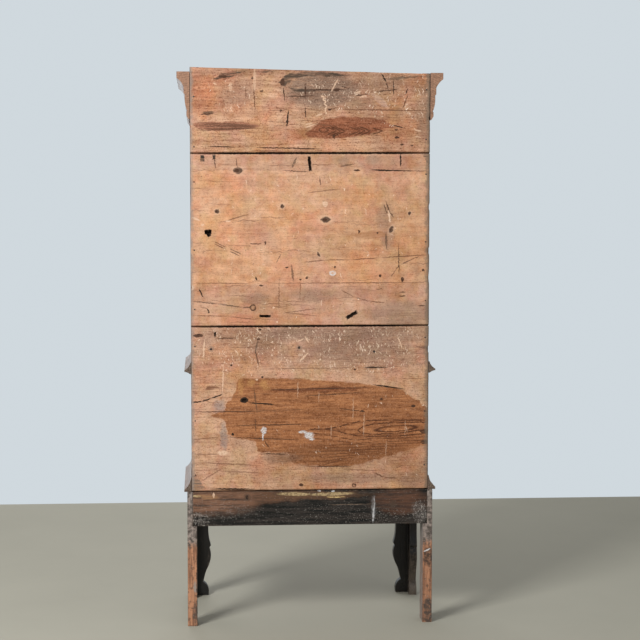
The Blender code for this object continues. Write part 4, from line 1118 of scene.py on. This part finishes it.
def hole_cutter(holes):
    """Uneven tapering plugs, one for each hole, as one mesh."""
    work = bmesh.new()
    for hole in holes:
        middle = under_pixel(hole.column, hole.row)
        random.seed(hole.name)
        turn = math.radians(hole.turn)
        outer, deep = [], []
        for angle in turns(hole.sides):
            reach = random.uniform(*HOLE_RAGGED) * PIXEL
            right = hole.half_wide * reach * squared(math.cos(angle))
            up = hole.half_high * reach * squared(math.sin(angle))
            u = right * math.cos(turn) - up * math.sin(turn)
            v = right * math.sin(turn) + up * math.cos(turn)
            outer.append(work.verts.new((middle.x - u, BACK_Y + CUT_PROUD, middle.z + v)))
            u, v = u * HOLE_TAPER, v * HOLE_TAPER
            deep.append(work.verts.new((middle.x - u, BACK_Y - hole.depth, middle.z + v)))
        work.faces.new(outer)
        work.faces.new(deep[::-1])
        join_rings(work, outer, deep)
    bmesh.ops.recalc_face_normals(work, faces=work.faces)
    return mesh_of(work, "hole_cutter")


def cut(mesh, cutter_mesh):
    """The mesh with the cutter's solids taken out of it."""
    block = bpy.data.objects.new("block", mesh)
    cutter = bpy.data.objects.new("cutter", cutter_mesh)
    for made in (block, cutter):
        bpy.context.scene.collection.objects.link(made)
    boolean = block.modifiers.new("holes", "BOOLEAN")
    boolean.object = cutter
    boolean.use_self = True
    evaluated = block.evaluated_get(bpy.context.evaluated_depsgraph_get())
    result = bpy.data.meshes.new_from_object(evaluated)
    for made in (block, cutter):
        bpy.data.objects.remove(made)
    return result


def build_back_board(board):
    mesh = board_mesh(board.node)
    holes = [hole for hole in HOLES if hole.node == board.node]
    if holes:
        mesh = cut(mesh, hole_cutter(holes))
    mesh.shade_smooth()
    mesh.set_sharp_from_angle(angle=SHARP_ANGLE)
    plank = add_piece(board.node + "_worn", mesh, "cabinet")
    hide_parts(board.node)
    dress(plank, board_material(board))


# Finishes of the stand, the outside and the inside; colours are linear

# Back rail
RAIL_BLACK = (0.006, 0.006, 0.005)
RAIL_GREY = (0.052, 0.041, 0.034)
RAIL_STREAK = (0.020, 0.016, 0.014)
RAIL_RUBBED = (0.190, 0.140, 0.105)
PALE_DUST = (0.440, 0.400, 0.360)

RAIL_WEAR = [
    spot("brown along the top", 268, 496, 46, 8, (0.150, 0.074, 0.042), 0.85, soft=0.9),
    spot("red brown left", 206, 499, 62, 18, (0.225, 0.114, 0.069), 0.95, soft=0.85),
    spot("gold streak at the left", 204, 497, 16, 2.4, (0.420, 0.225, 0.105), 0.7, soft=0.8),
    spot("red brown right", 400, 501, 32, 15, (0.128, 0.060, 0.036), 0.9, soft=0.95),
    spot("brown under the paint", 315, 495, 62, 5, (0.130, 0.068, 0.038), 0.9, soft=0.8),
    spot("grey right end", 420, 512, 8, 12, (0.110, 0.095, 0.085), 0.6, soft=0.8),
]
RAIL_DUST = [
    spot("dust at the right end", 420, 512, 10, 14, CHALK, 0.9, soft=0.8),
    spot("dust at the left foot", 200, 519, 13, 8, CHALK, 0.9, soft=0.7),
    spot("dust on the brown", 222, 510, 34, 12, CHALK, 0.45, soft=0.7),
    spot("dust low right", 385, 515, 34, 10, CHALK, 0.4, soft=0.8),
    spot("dust along the foot", 310, 515, 118, 11, CHALK, 0.24, soft=0.8),
]
RAIL_MARKS = [
    line("yellow paint left", (276, 493.6), (313, 494.4), 2.0, YELLOW_PAINT, 0.9),
    line("yellow paint right", (308, 494.5), (356, 493.6), 1.9, YELLOW_PAINT, 0.8),
    line("bright yellow", (326, 496.8), (346, 497.2), 0.7, (0.70, 0.50, 0.22), 0.9),
    line("yellow tip left", (192, 496), (201, 496.4), 1.2, YELLOW_PAINT, 0.9),
    spot("pale fleck", 213.7, 495.2, 1.0, 3.0, PALE, 0.8),
    spot("dark round the hole", 247.3, 497.4, 4.2, 4.0, SMUDGE, 0.7, soft=0.7),
    spot("peg hole", 247.3, 497.2, 1.9, 2.4, CRACK),
    line("white streak", (374.8, 494), (373.4, 524), 0.6, CHALK, 0.6),
    spot("white streak low", 373.2, 515, 1.1, 8.5, CHALK, 0.75, soft=0.8),
    spot("white haze by the streak", 373.5, 508, 2.6, 14, CHALK, 0.16, soft=0.9),
    spot("knot at the right", 393, 504, 4.5, 5, SMUDGE, 0.8, soft=0.9),
    line("pale scratch", (327, 504.4), (378, 504.2), 0.35, GREY_BROWN, 0.7),
    spot("white drop", 319, 491.2, 1.8, 0.8, CHALK, 0.9),
    spot("white drop right", 333, 491.2, 2.0, 0.8, CHALK, 0.9),
]


def rail_material():
    """Near black worn paint over brown wood, with old drips of other paint."""
    shade = Shade("stand_rail_paint")
    grain = pine_grain(shade, "x", ring_gap=0.009, pith=(0.0, 0.10, 0.41))
    loose = back_plane(shade, shake=0.030, scale=26.0)
    tight = back_plane(shade, shake=0.006, scale=60.0)
    grit = shade.noise(shade.place, 150.0, 3.0, 0.65)
    along = shade.vector("MULTIPLY", shade.place, (0.12, 1.0, 1.0))
    broken = shade.smooth(shade.noise(along, 150.0, 4.0, 0.7), 0.32, 0.62, 0.40, 1.1)
    colour = shade.mix(shade.smooth(grain.streaks, 0.35, 0.7), RAIL_BLACK, RAIL_GREY)
    colour = add_marks(shade, colour, loose, RAIL_WEAR, broken)
    colour = shade.mix(shade.smooth(grain.streaks, 0.48, 0.70, 0.0, 0.7), colour, RAIL_STREAK)
    colour = add_marks(shade, colour, tight, RAIL_MARKS, shade.smooth(grit, 0.34, 0.58, 0.25, 1.1))
    edge = shade.edges(radius=0.004, low=0.80, high=0.97)
    worn = shade.math("MULTIPLY", edge, shade.smooth(grit, 0.45, 0.6))
    colour = shade.mix(worn, colour, RAIL_RUBBED)
    dust = union(shade, loose, RAIL_DUST)
    dust = shade.math("MULTIPLY_ADD", dust, 0.14, shade.noise(shade.place, 430.0, 2.0))
    colour = shade.mix(shade.smooth(dust, 0.67, 0.76, 0.0, 0.8), colour, PALE_DUST)
    rough = shade.smooth(grain.mottle, 0.3, 0.7, 0.5, 0.7)
    return shade.finish(colour, rough, grain_height(shade, grain), RELIEF, specular=0.2)


# Back legs
LEG_LIGHT = (0.580, 0.280, 0.155)
LEG_DARK = (0.215, 0.102, 0.060)
LEG_BLOT = (0.100, 0.060, 0.042)
LEG_BARE_LIGHT = (0.330, 0.270, 0.235)
LEG_BARE_DARK = (0.095, 0.076, 0.064)
LEG_SIDE_LIGHT = (0.270, 0.240, 0.220)
LEG_SIDE_DARK = (0.110, 0.092, 0.080)
LEG_GRIME = (0.060, 0.042, 0.034)
LEG_SPECK = (0.500, 0.430, 0.380)

# Heights between which the stain of the back legs gives way to bare wood
LEG_BARE_FADE = (0.262, 0.292)
LEG_BARE_UNEVEN = 0.08

LEG_MARKS = [
    spot("grey wear on the left leg", 195.4, 587, 2.4, 7, (0.330, 0.280, 0.250), 0.8, soft=0.8),
    spot("dark foot on the left leg", 195.4, 613, 3.0, 12, (0.090, 0.064, 0.050), 0.8, soft=0.7),
    line("dark edge of the left leg", (197.2, 550), (197.0, 622), 0.9, (0.050, 0.034, 0.026), 0.8),
    spot("dark shoulder on the right leg", 428, 556, 6, 11, (0.075, 0.046, 0.034), 0.9, soft=0.6),
    spot("dark foot on the right leg", 428, 610, 6, 16, (0.085, 0.060, 0.048), 0.9, soft=0.6),
    line("white scratch on the right leg", (423.6, 551.6), (430.8, 548.4), 0.8, CHALK, 0.95),
]


def back_leg_material():
    """Orange brown stain, worn to grey wood near the rail, and grey on the faces between the legs."""
    shade = Shade("back_leg_stain")
    grain = pine_grain(shade, "z", ring_gap=0.006, pith=(0.30, 0.10, 0.0))
    tight = back_plane(shade, shake=0.006, scale=140.0)
    z = shade.split(shade.place)[2]
    blot = shade.noise(shade.place, 90.0, 5.0, 0.7)
    broken = shade.smooth(blot, 0.34, 0.56, 0.4, 1.1)
    stain = shade.mix(shade.smooth(grain.streaks, 0.3, 0.7), LEG_LIGHT, LEG_DARK)
    stain = shade.mix(shade.smooth(blot, 0.50, 0.64, 0.0, 0.75), stain, LEG_BLOT)
    stain = add_marks(shade, stain, tight, LEG_MARKS, broken)
    bare = shade.mix(shade.smooth(blot, 0.38, 0.62), LEG_BARE_LIGHT, LEG_BARE_DARK)
    level = shade.math("MULTIPLY_ADD", shade.math("SUBTRACT", blot, 0.5), LEG_BARE_UNEVEN, z)
    colour = shade.mix(shade.smooth(level, *LEG_BARE_FADE), stain, bare)
    upright = shade.noise(shade.vector("MULTIPLY", shade.place, (1.0, 1.0, 0.15)), 110.0, 5.0, 0.7)
    side = shade.mix(shade.smooth(upright, 0.35, 0.65), LEG_SIDE_LIGHT, LEG_SIDE_DARK)
    sideways = shade.math("ABSOLUTE", shade.facing(0))
    colour = shade.mix(shade.smooth(sideways, 0.75, 0.95, 0.0, 0.85), colour, side)
    edge = shade.edges(radius=0.006, low=0.80, high=0.97)
    grimy = shade.math("MULTIPLY", edge, shade.smooth(blot, 0.40, 0.56, 0.2, 0.9))
    colour = shade.mix(grimy, colour, LEG_GRIME)
    specks = shade.smooth(shade.noise(shade.place, 240.0, 2.0), 0.67, 0.74, 0.0, 0.7)
    colour = shade.mix(specks, colour, LEG_SPECK)
    return shade.finish(colour, 0.62, grain_height(shade, grain), RELIEF, specular=0.25)


# Stained wood
RED_DARK = (0.085, 0.036, 0.025)
RED_LIGHT = (0.200, 0.082, 0.050)
BLACK_DARK = (0.010, 0.009, 0.008)
BLACK_LIGHT = (0.020, 0.017, 0.015)
# Worn wood under the black stain; on the rubbed edges of the black legs it is also a painted highlight
BLACK_WORN_AND_EDGE_HIGHLIGHT = (0.240, 0.190, 0.150)
DARK_BROWN = (0.032, 0.019, 0.014)
MID_BROWN = (0.075, 0.036, 0.024)
KNOB_BROWN = (0.120, 0.050, 0.030)
WORN_PINE = (0.400, 0.215, 0.115)
WORN_DARKER = 0.6
END_PINE = (0.395, 0.215, 0.136)
END_DARKER = 0.45
GRIME_LIGHT = (0.150, 0.118, 0.090)
GRIME_DARK = (0.028, 0.022, 0.018)
SETTLED_DUST = (0.215, 0.165, 0.135)
CLEAN_ENDS_MARGIN = 0.1
CLEAN_ENDS_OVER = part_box("cornice_left")[0].z - CLEAN_ENDS_MARGIN

# Scuffs near the floor: their height, the fade below and above it, and how uneven it is
SCUFFED_UNDER = 0.17
SCUFF_BELOW = 0.12
SCUFF_ABOVE = 0.03
SCUFF_UNEVEN = 0.5


def scuffs(shade):
    """Where the feet of the stand are scuffed."""
    uneven = shade.math("SUBTRACT", shade.noise(shade.place, 55.0, 5.0, 0.75), 0.5)
    level = shade.math("MULTIPLY_ADD", uneven, SCUFF_UNEVEN, shade.split(shade.place)[2])
    return shade.smooth(level, SCUFFED_UNDER - SCUFF_BELOW, SCUFFED_UNDER + SCUFF_ABOVE, 0.6, 0.0)


def raw_ends(shade, colour, streaks):
    """Raw sawn ends on the faces that look backwards, dirty except at the cornice."""
    raw = shade.mix(streaks, END_PINE, darker(END_PINE, END_DARKER))
    dirt = shade.smooth(shade.noise(shade.place, 220.0, 3.0, 0.7), 0.40, 0.62)
    grime = shade.mix(dirt, GRIME_LIGHT, GRIME_DARK)
    low_end = shade.math("LESS_THAN", shade.split(shade.place)[2], CLEAN_ENDS_OVER)
    raw = shade.mix(shade.math("MULTIPLY", low_end, 0.85), raw, grime)
    return shade.mix(shade.smooth(shade.facing(1), 0.80, 0.95), colour, raw)


def stained_material(name, along, dark, light, bare, wear, rough=0.40, dust=0.0, raw_ended=False,
                     scuffed=False):
    """Old stain or paint over pine: streaked, mottled, rubbed at edges, with raw ends where asked."""
    shade = Shade(name)
    grain = pine_grain(shade, along, ring_gap=0.007, pith=(0.21, 0.31, 0.37))
    streaks = shade.smooth(grain.streaks, 0.3, 0.72, 0.0, 0.7)
    streaks = shade.math("MULTIPLY_ADD", grain.rings, 0.35, streaks)
    colour = shade.mix(streaks, light, dark)
    colour = shade.mix(shade.smooth(grain.mottle, 0.38, 0.66, 0.0, 0.6), colour, dark)
    rub = shade.smooth(shade.noise(shade.place, 38.0, 4.0, 0.65), 0.44, 0.62)
    # Bare wood on rubbed edges; on the black legs this pale edge is also a painted highlight
    worn = shade.math("MULTIPLY", shade.edges(radius=0.005, low=0.78, high=0.97), rub)
    slow = shade.vector("MULTIPLY", shade.place, tuple(0.2 + 0.8 * part for part in STRETCH[along]))
    thin = shade.math("MULTIPLY", shade.smooth(shade.noise(slow, 30.0, 5.0, 0.7), 0.60, 0.74), wear)
    if scuffed:
        thin = shade.math("MAXIMUM", thin, scuffs(shade))
    bare_wood = shade.mix(streaks, bare, darker(bare, WORN_DARKER))
    colour = shade.mix(shade.math("MAXIMUM", worn, thin), colour, bare_wood)
    if raw_ended:
        colour = raw_ends(shade, colour, streaks)
    upward = shade.smooth(shade.facing(2), 0.70, 0.97)
    settled = shade.math("MULTIPLY", upward, shade.smooth(rub, 0.0, 1.0, 0.75, 1.0))
    colour = shade.mix(shade.math("MULTIPLY", settled, 0.45), colour, SETTLED_DUST)
    gloss = shade.smooth(grain.mottle, 0.3, 0.7, rough - 0.08, rough + 0.12)
    gloss = shade.math("MULTIPLY_ADD", settled, 0.52, gloss)
    return shade.finish(colour, gloss, grain_height(shade, grain), THIN_RELIEF, specular=0.3, dust=dust)


# Inner wood
INNER_LIGHT = (0.560, 0.365, 0.200)
INNER_DARK = (0.400, 0.235, 0.120)
INNER_MOTTLE = (0.330, 0.205, 0.115)
INNER_DIRT = (0.230, 0.140, 0.080)
FRONT_SKIN = 0.001


def raw_material(name, along):
    """Bare pine inside the cabinet and the drawers, stained on the edges that show at the front."""
    shade = Shade(name)
    grain = pine_grain(shade, along, ring_gap=0.008, pith=(0.23, 0.29, 0.35), sway=0.03)
    streaks = shade.smooth(grain.streaks, 0.3, 0.72, 0.0, 0.5)
    streaks = shade.math("MULTIPLY_ADD", grain.rings, 0.55, streaks)
    colour = shade.mix(streaks, INNER_LIGHT, INNER_DARK)
    colour = shade.mix(shade.smooth(grain.mottle, 0.45, 0.7, 0.0, 0.5), colour, INNER_MOTTLE)
    dirt = shade.math("MULTIPLY", shade.edges(radius=0.006, low=0.75, high=0.97), 0.5)
    colour = shade.mix(dirt, colour, INNER_DIRT)
    stained = shade.mix(streaks, RED_LIGHT, RED_DARK)
    at_front = shade.math("LESS_THAN", shade.split(shade.place)[1], FRONT_Y + FRONT_SKIN)
    colour = shade.mix(at_front, colour, stained)
    return shade.finish(colour, 0.70, grain_height(shade, grain), THIN_RELIEF, specular=0.3)


# Iron
IRON_DARK = (0.045, 0.040, 0.038)
IRON_LIGHT = (0.110, 0.100, 0.095)
RUST = (0.130, 0.055, 0.028)
IRON_RELIEF = 0.0003


def iron_material():
    """Dark forged iron with rust in patches."""
    shade = Shade("forged_iron")
    grit = shade.noise(shade.place, 420.0, 4.0, 0.6)
    rust = shade.smooth(shade.noise(shade.place, 130.0, 3.0), 0.5, 0.65)
    colour = shade.mix(rust, shade.mix(grit, IRON_DARK, IRON_LIGHT), RUST)
    return shade.finish(colour, shade.smooth(rust, 0.0, 1.0, 0.45, 0.8), grit, IRON_RELIEF, metal=0.8)


# Brass
BRASS = (0.480, 0.330, 0.130)
BRASS_TARNISHED = (0.150, 0.095, 0.045)
BRASS_RUBBED = (0.620, 0.450, 0.200)
BRASS_RELIEF = 0.0002


def brass_material():
    """Old brass, browned except where hands polish it."""
    shade = Shade("old_brass")
    tarnish = shade.smooth(shade.noise(shade.place, 160.0, 4.0, 0.6), 0.38, 0.66)
    colour = shade.mix(tarnish, BRASS, BRASS_TARNISHED)
    rubbed = shade.edges(radius=0.0012, low=0.75, high=0.97)
    colour = shade.mix(rubbed, colour, BRASS_RUBBED)
    rough = shade.smooth(tarnish, 0.0, 1.0, 0.32, 0.55)
    return shade.finish(colour, rough, tarnish, BRASS_RELIEF, metal=1.0)


def along_of(node):
    """The axis of a node's longest side, which its grain follows."""
    low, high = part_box(node)
    size = high - low
    return "xyz"[max(range(3), key=lambda axis: size[axis])]


finishes = {}


def finish_for(node):
    """The finish of a CAD node by its slot and grain, made once for each pair."""
    slot, along = SLOT_OF[node], along_of(node)
    kind = node if node == "stand_back_rail" else f"{slot}_{along}"
    kind += "".join("_" + word for word in ("moulding", "leg_side") if word in node)
    if kind not in finishes:
        finishes[kind] = make_finish(node, slot, along, kind)
    return finishes[kind]


def make_finish(node, slot, along, kind):
    if node == "stand_back_rail":
        return rail_material()
    if slot == "leg_brown":
        return back_leg_material()
    if slot == "leg_black":
        return stained_material(kind, along, BLACK_DARK, BLACK_LIGHT, BLACK_WORN_AND_EDGE_HIGHLIGHT, wear=0.75, rough=0.34,
                                scuffed="leg_side" in node)
    if slot == "stand_dark":
        return stained_material(kind, along, DARK_BROWN, MID_BROWN, BLACK_WORN_AND_EDGE_HIGHLIGHT, wear=0.35)
    if slot == "inner_pine":
        return raw_material(kind, along)
    if slot == "iron":
        return iron_material()
    if slot == "knob_wood":
        return stained_material(kind, along, DARK_BROWN, KNOB_BROWN, WORN_PINE, wear=0.1, rough=0.35)
    dust = 0.75 if "moulding" in node else 0.30
    return stained_material(kind, along, RED_DARK, RED_LIGHT, WORN_PINE, wear=0.55, dust=dust,
                            raw_ended=True)


WELD_DISTANCE = 0.00001
ARRIS_STEPS = 2
ARRIS_ANGLE = math.radians(38)

# Width of the rounded arrises for each slot
ARRIS = {"leg_black": 0.003, "leg_brown": 0.0025, "stand_dark": 0.002, "stained_pine": 0.0013,
         "inner_pine": 0.001, "knob_wood": 0.0006, "iron": 0.0005}


def weld_group():
    """A node group that joins the doubled points of a CAD mesh and shades its faces smooth."""
    group = bpy.data.node_groups.new("weld_and_smooth", "GeometryNodeTree")
    group.interface.new_socket("Geometry", in_out="INPUT", socket_type="NodeSocketGeometry")
    group.interface.new_socket("Geometry", in_out="OUTPUT", socket_type="NodeSocketGeometry")
    start = group.nodes.new("NodeGroupInput")
    weld = group.nodes.new("GeometryNodeMergeByDistance")
    weld.inputs["Distance"].default_value = WELD_DISTANCE
    smooth = group.nodes.new("GeometryNodeSetShadeSmooth")
    end = group.nodes.new("NodeGroupOutput")
    for first, second in ((start, weld), (weld, smooth), (smooth, end)):
        group.links.new(first.outputs[0], second.inputs[0])
    return group


def soften(node, group):
    """Rounded arrises and even shading on a CAD node, by modifiers alone."""
    obj = NODES[node]
    obj.modifiers.new("weld", "NODES").node_group = group
    bevel = obj.modifiers.new("arris", "BEVEL")
    bevel.width = ARRIS[SLOT_OF[node]]
    bevel.segments = ARRIS_STEPS
    bevel.limit_method = "ANGLE"
    bevel.angle_limit = ARRIS_ANGLE
    obj.modifiers.new("normals", "WEIGHTED_NORMAL")


def dress_nodes():
    group = weld_group()
    for node, obj in NODES.items():
        if SLOT_OF[node] != "raw_pine":
            obj.material_slots[0].material = finish_for(node)
            soften(node, group)


# Trim: nails in the back and lock plates on the front

# Rows of the photo at which the board ends are nailed, and how far left and right differ
NAIL_ROWS = (93, 143, 178, 246, 305, 342, 416, 470)
NAIL_STAGGER = 4

NAIL_INSET = 0.013
NAIL_RADIUS = 0.0036
NAIL_RAGGED = (0.8, 1.15)
NAIL_SIDES = 8
NAIL_SUNK = 0.0016
NAIL_SHOULDER = 0.00056
NAIL_HEIGHT = 0.00098
NAIL_CROWN = 0.6
NAIL_SEED = 5

# Pixels of the nails that the photo shows
PHOTO_NAILS = {"left": (211, 349.1), "centre": (299.3, 347.7), "right": (374.2, 351.6)}


def nail_places():
    """Nails at the board ends, into the sides, and the three that the photo shows over the waist."""
    places = [under_pixel(column, row) for column, row in PHOTO_NAILS.values()]
    for row in NAIL_ROWS:
        for side in (-1, 1):
            height = under_pixel(AXIS_COLUMN, row + NAIL_STAGGER * side).z
            places.append(Vector((side * (HALF_WIDTH - NAIL_INSET), BACK_Y, height)))
    return places


def build_nails(material):
    """Hammered nail heads with uneven rims and a raised middle."""
    random.seed(NAIL_SEED)
    work = bmesh.new()
    for place in nail_places():
        base, crown = [], []
        for angle in turns(NAIL_SIDES):
            rim = NAIL_RADIUS * random.uniform(*NAIL_RAGGED)
            right, up = rim * math.cos(angle), rim * math.sin(angle)
            base.append(work.verts.new(place + Vector((right, -NAIL_SUNK, up))))
            shoulder = Vector((right * NAIL_CROWN, NAIL_SHOULDER, up * NAIL_CROWN))
            crown.append(work.verts.new(place + shoulder))
        top = work.verts.new(place + Vector((0.0, NAIL_HEIGHT, 0.0)))
        join_rings(work, base, crown)
        for i in range(NAIL_SIDES):
            work.faces.new((crown[(i + 1) % NAIL_SIDES], crown[i], top))
        work.faces.new(base)
    bmesh.ops.recalc_face_normals(work, faces=work.faces)
    dress(add_piece("back_nails", mesh_of(work, "back_nails"), "cabinet"), material)


PLATE_HALF_WIDE = 0.017
PLATE_HALF_HIGH = 0.028
PLATE_HALF_THICK = 0.0005
PLATE_RIM = 0.0003
PLATE_POINTS = 64
FOUR_LOBES = 0.13
SIX_LOBES = 0.05
PLATE_PROUD = 0.0009
BACKING_PROUD = 0.0001
BACKING_SCALE = 0.9
KEY_RADIUS = 0.0032
KEY_SLOT = 0.0100
KEY_OPENING = math.radians(28)
KEY_STEPS = 18


def closed_spline(curve, points):
    spline = curve.splines.new("POLY")
    spline.points.add(len(points) - 1)
    for point, (right, up) in zip(spline.points, points):
        point.co = (right, up, 0.0, 1.0)
    spline.use_cyclic_u = True


def plate_outline(scale):
    """A lobed shield outline, waisted at its middle."""
    points = []
    for angle in turns(PLATE_POINTS):
        lobe = 1.0 + FOUR_LOBES * math.cos(4 * angle) + SIX_LOBES * math.cos(6 * angle)
        points.append((scale * PLATE_HALF_WIDE * lobe * math.cos(angle),
                       scale * PLATE_HALF_HIGH * lobe * math.sin(angle)))
    return points


def keyhole_outline():
    """A round top over a straight slot."""
    points = []
    for i in range(KEY_STEPS + 1):
        angle = -math.pi / 2 + KEY_OPENING + 2 * (math.pi - KEY_OPENING) * i / KEY_STEPS
        points.append((KEY_RADIUS * math.cos(angle), KEY_RADIUS * math.sin(angle)))
    half = KEY_RADIUS * math.sin(KEY_OPENING)
    return points + [(-half, -KEY_SLOT), (half, -KEY_SLOT)]


def flat_mesh(name, outlines):
    """A thin plate from closed outlines, the later ones cut out of the first."""
    curve = bpy.data.curves.new(name, "CURVE")
    curve.dimensions = "2D"
    curve.fill_mode = "BOTH"
    curve.extrude = PLATE_HALF_THICK
    curve.bevel_depth = PLATE_RIM
    for outline in outlines:
        closed_spline(curve, outline)
    holder = bpy.data.objects.new(name, curve)
    bpy.context.scene.collection.objects.link(holder)
    evaluated = holder.evaluated_get(bpy.context.evaluated_depsgraph_get())
    mesh = bpy.data.meshes.new_from_object(evaluated)
    bpy.data.objects.remove(holder)
    return mesh


def lock_plate(name, body, at, brass, iron):
    """A pierced plate over a dark backing, facing the front."""
    stand_up = Matrix.Rotation(math.radians(90), 4, "X")
    for part, outlines, proud, material in (
            ("plate", [plate_outline(1.0), keyhole_outline()], PLATE_PROUD, brass),
            ("backing", [plate_outline(BACKING_SCALE)], BACKING_PROUD, iron)):
        mesh = flat_mesh(f"{name}_{part}", outlines)
        mesh.transform(Matrix.Translation(at - Vector((0.0, proud, 0.0))) @ stand_up)
        dress(add_piece(f"{name}_{part}", mesh, body), material)


LOCK_DROP = 0.085
DRAWER_LOCK_RISE = 0.018


def build_lock_plates(iron):
    brass = brass_material()
    knob_low, knob_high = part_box("door_knob")
    knob_x, knob_z = (knob_low.x + knob_high.x) / 2, (knob_low.z + knob_high.z) / 2
    lock_plate("door_lock", "door_right", Vector((knob_x, DOOR_FRONT_Y, knob_z - LOCK_DROP)), brass, iron)
    for drawer in ("lower_drawer", "upper_drawer"):
        low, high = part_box(drawer + "_front")
        height = (low.z + high.z) / 2 + DRAWER_LOCK_RISE
        lock_plate(drawer + "_lock", drawer, Vector((0.0, DRAWER_FRONT_Y, height)), brass, iron)


# Camera, stage and light

def make_camera():
    data = bpy.data.cameras.new("photo_camera")
    data.sensor_width = SENSOR_MM
    data.lens = SENSOR_MM * FOCAL_PX / PHOTO_PX
    data.shift_x = (PHOTO_PX / 2 - AXIS_COLUMN) / PHOTO_PX
    camera = bpy.data.objects.new("photo_camera", data)
    camera.location = CAMERA_AT
    camera.rotation_euler = CAMERA_TURN
    bpy.context.scene.collection.objects.link(camera)
    bpy.context.scene.camera = camera


def make_floor():
    corners = [(-FLOOR_HALF, FLOOR_END_Y, 0), (FLOOR_HALF, FLOOR_END_Y, 0), (FLOOR_HALF, FLOOR_NEAR_Y, 0),
               (-FLOOR_HALF, FLOOR_NEAR_Y, 0)]
    mesh = bpy.data.meshes.new("floor")
    mesh.from_pydata(corners, [], [(0, 1, 2, 3)])
    floor = bpy.data.objects.new("floor", mesh)
    bpy.context.scene.collection.objects.link(floor)
    shade = Shade("pale_floor")
    cloud = shade.noise(shade.place, 1.7, 4.0, 0.6)
    colour = shade.mix(cloud, FLOOR_COLOUR, darker(FLOOR_COLOUR, FLOOR_DARKER))
    dress(floor, shade.finish(colour, 0.75, cloud, THIN_RELIEF, specular=0.2))


def make_lamp(lamp):
    data = bpy.data.lights.new(lamp.name, "AREA")
    data.energy = lamp.watts
    data.size = lamp.size
    made = bpy.data.objects.new(lamp.name, data)
    made.location = lamp.at
    made.rotation_euler = (LIGHT_AIM - lamp.at).to_track_quat("-Z", "Y").to_euler()
    bpy.context.scene.collection.objects.link(made)


def make_world():
    """Even white light, with a pale wall colour where the camera or a reflection looks past the floor."""
    world = bpy.data.worlds.new("studio")
    bpy.context.scene.world = world
    world.use_nodes = True
    tree = world.node_tree
    tree.nodes.clear()
    rays = tree.nodes.new("ShaderNodeLightPath")
    seen = rays.outputs["Is Camera Ray"]
    for kind in ("Is Glossy Ray", "Is Transmission Ray"):
        either = tree.nodes.new("ShaderNodeMath")
        either.operation = "MAXIMUM"
        tree.links.new(seen, either.inputs[0])
        tree.links.new(rays.outputs[kind], either.inputs[1])
        seen = either.outputs[0]
    light = tree.nodes.new("ShaderNodeBackground")
    light.inputs["Strength"].default_value = WORLD_LIGHT
    light.inputs["Color"].default_value = (1.0, 1.0, 1.0, 1.0)
    wall = tree.nodes.new("ShaderNodeBackground")
    wall.inputs["Color"].default_value = (*WALL_COLOUR, 1.0)
    blend = tree.nodes.new("ShaderNodeMixShader")
    tree.links.new(seen, blend.inputs[0])
    tree.links.new(light.outputs[0], blend.inputs[1])
    tree.links.new(wall.outputs[0], blend.inputs[2])
    output = tree.nodes.new("ShaderNodeOutputWorld")
    tree.links.new(blend.outputs[0], output.inputs["Surface"])


def make_stage():
    make_floor()
    make_world()
    for lamp in LAMPS:
        make_lamp(lamp)
    bpy.context.scene.view_settings.view_transform = "Standard"


make_camera()
make_stage()
for back_board in BOARDS:
    build_back_board(back_board)
dress_nodes()
iron_finish = iron_material()
build_nails(iron_finish)
build_lock_plates(iron_finish)
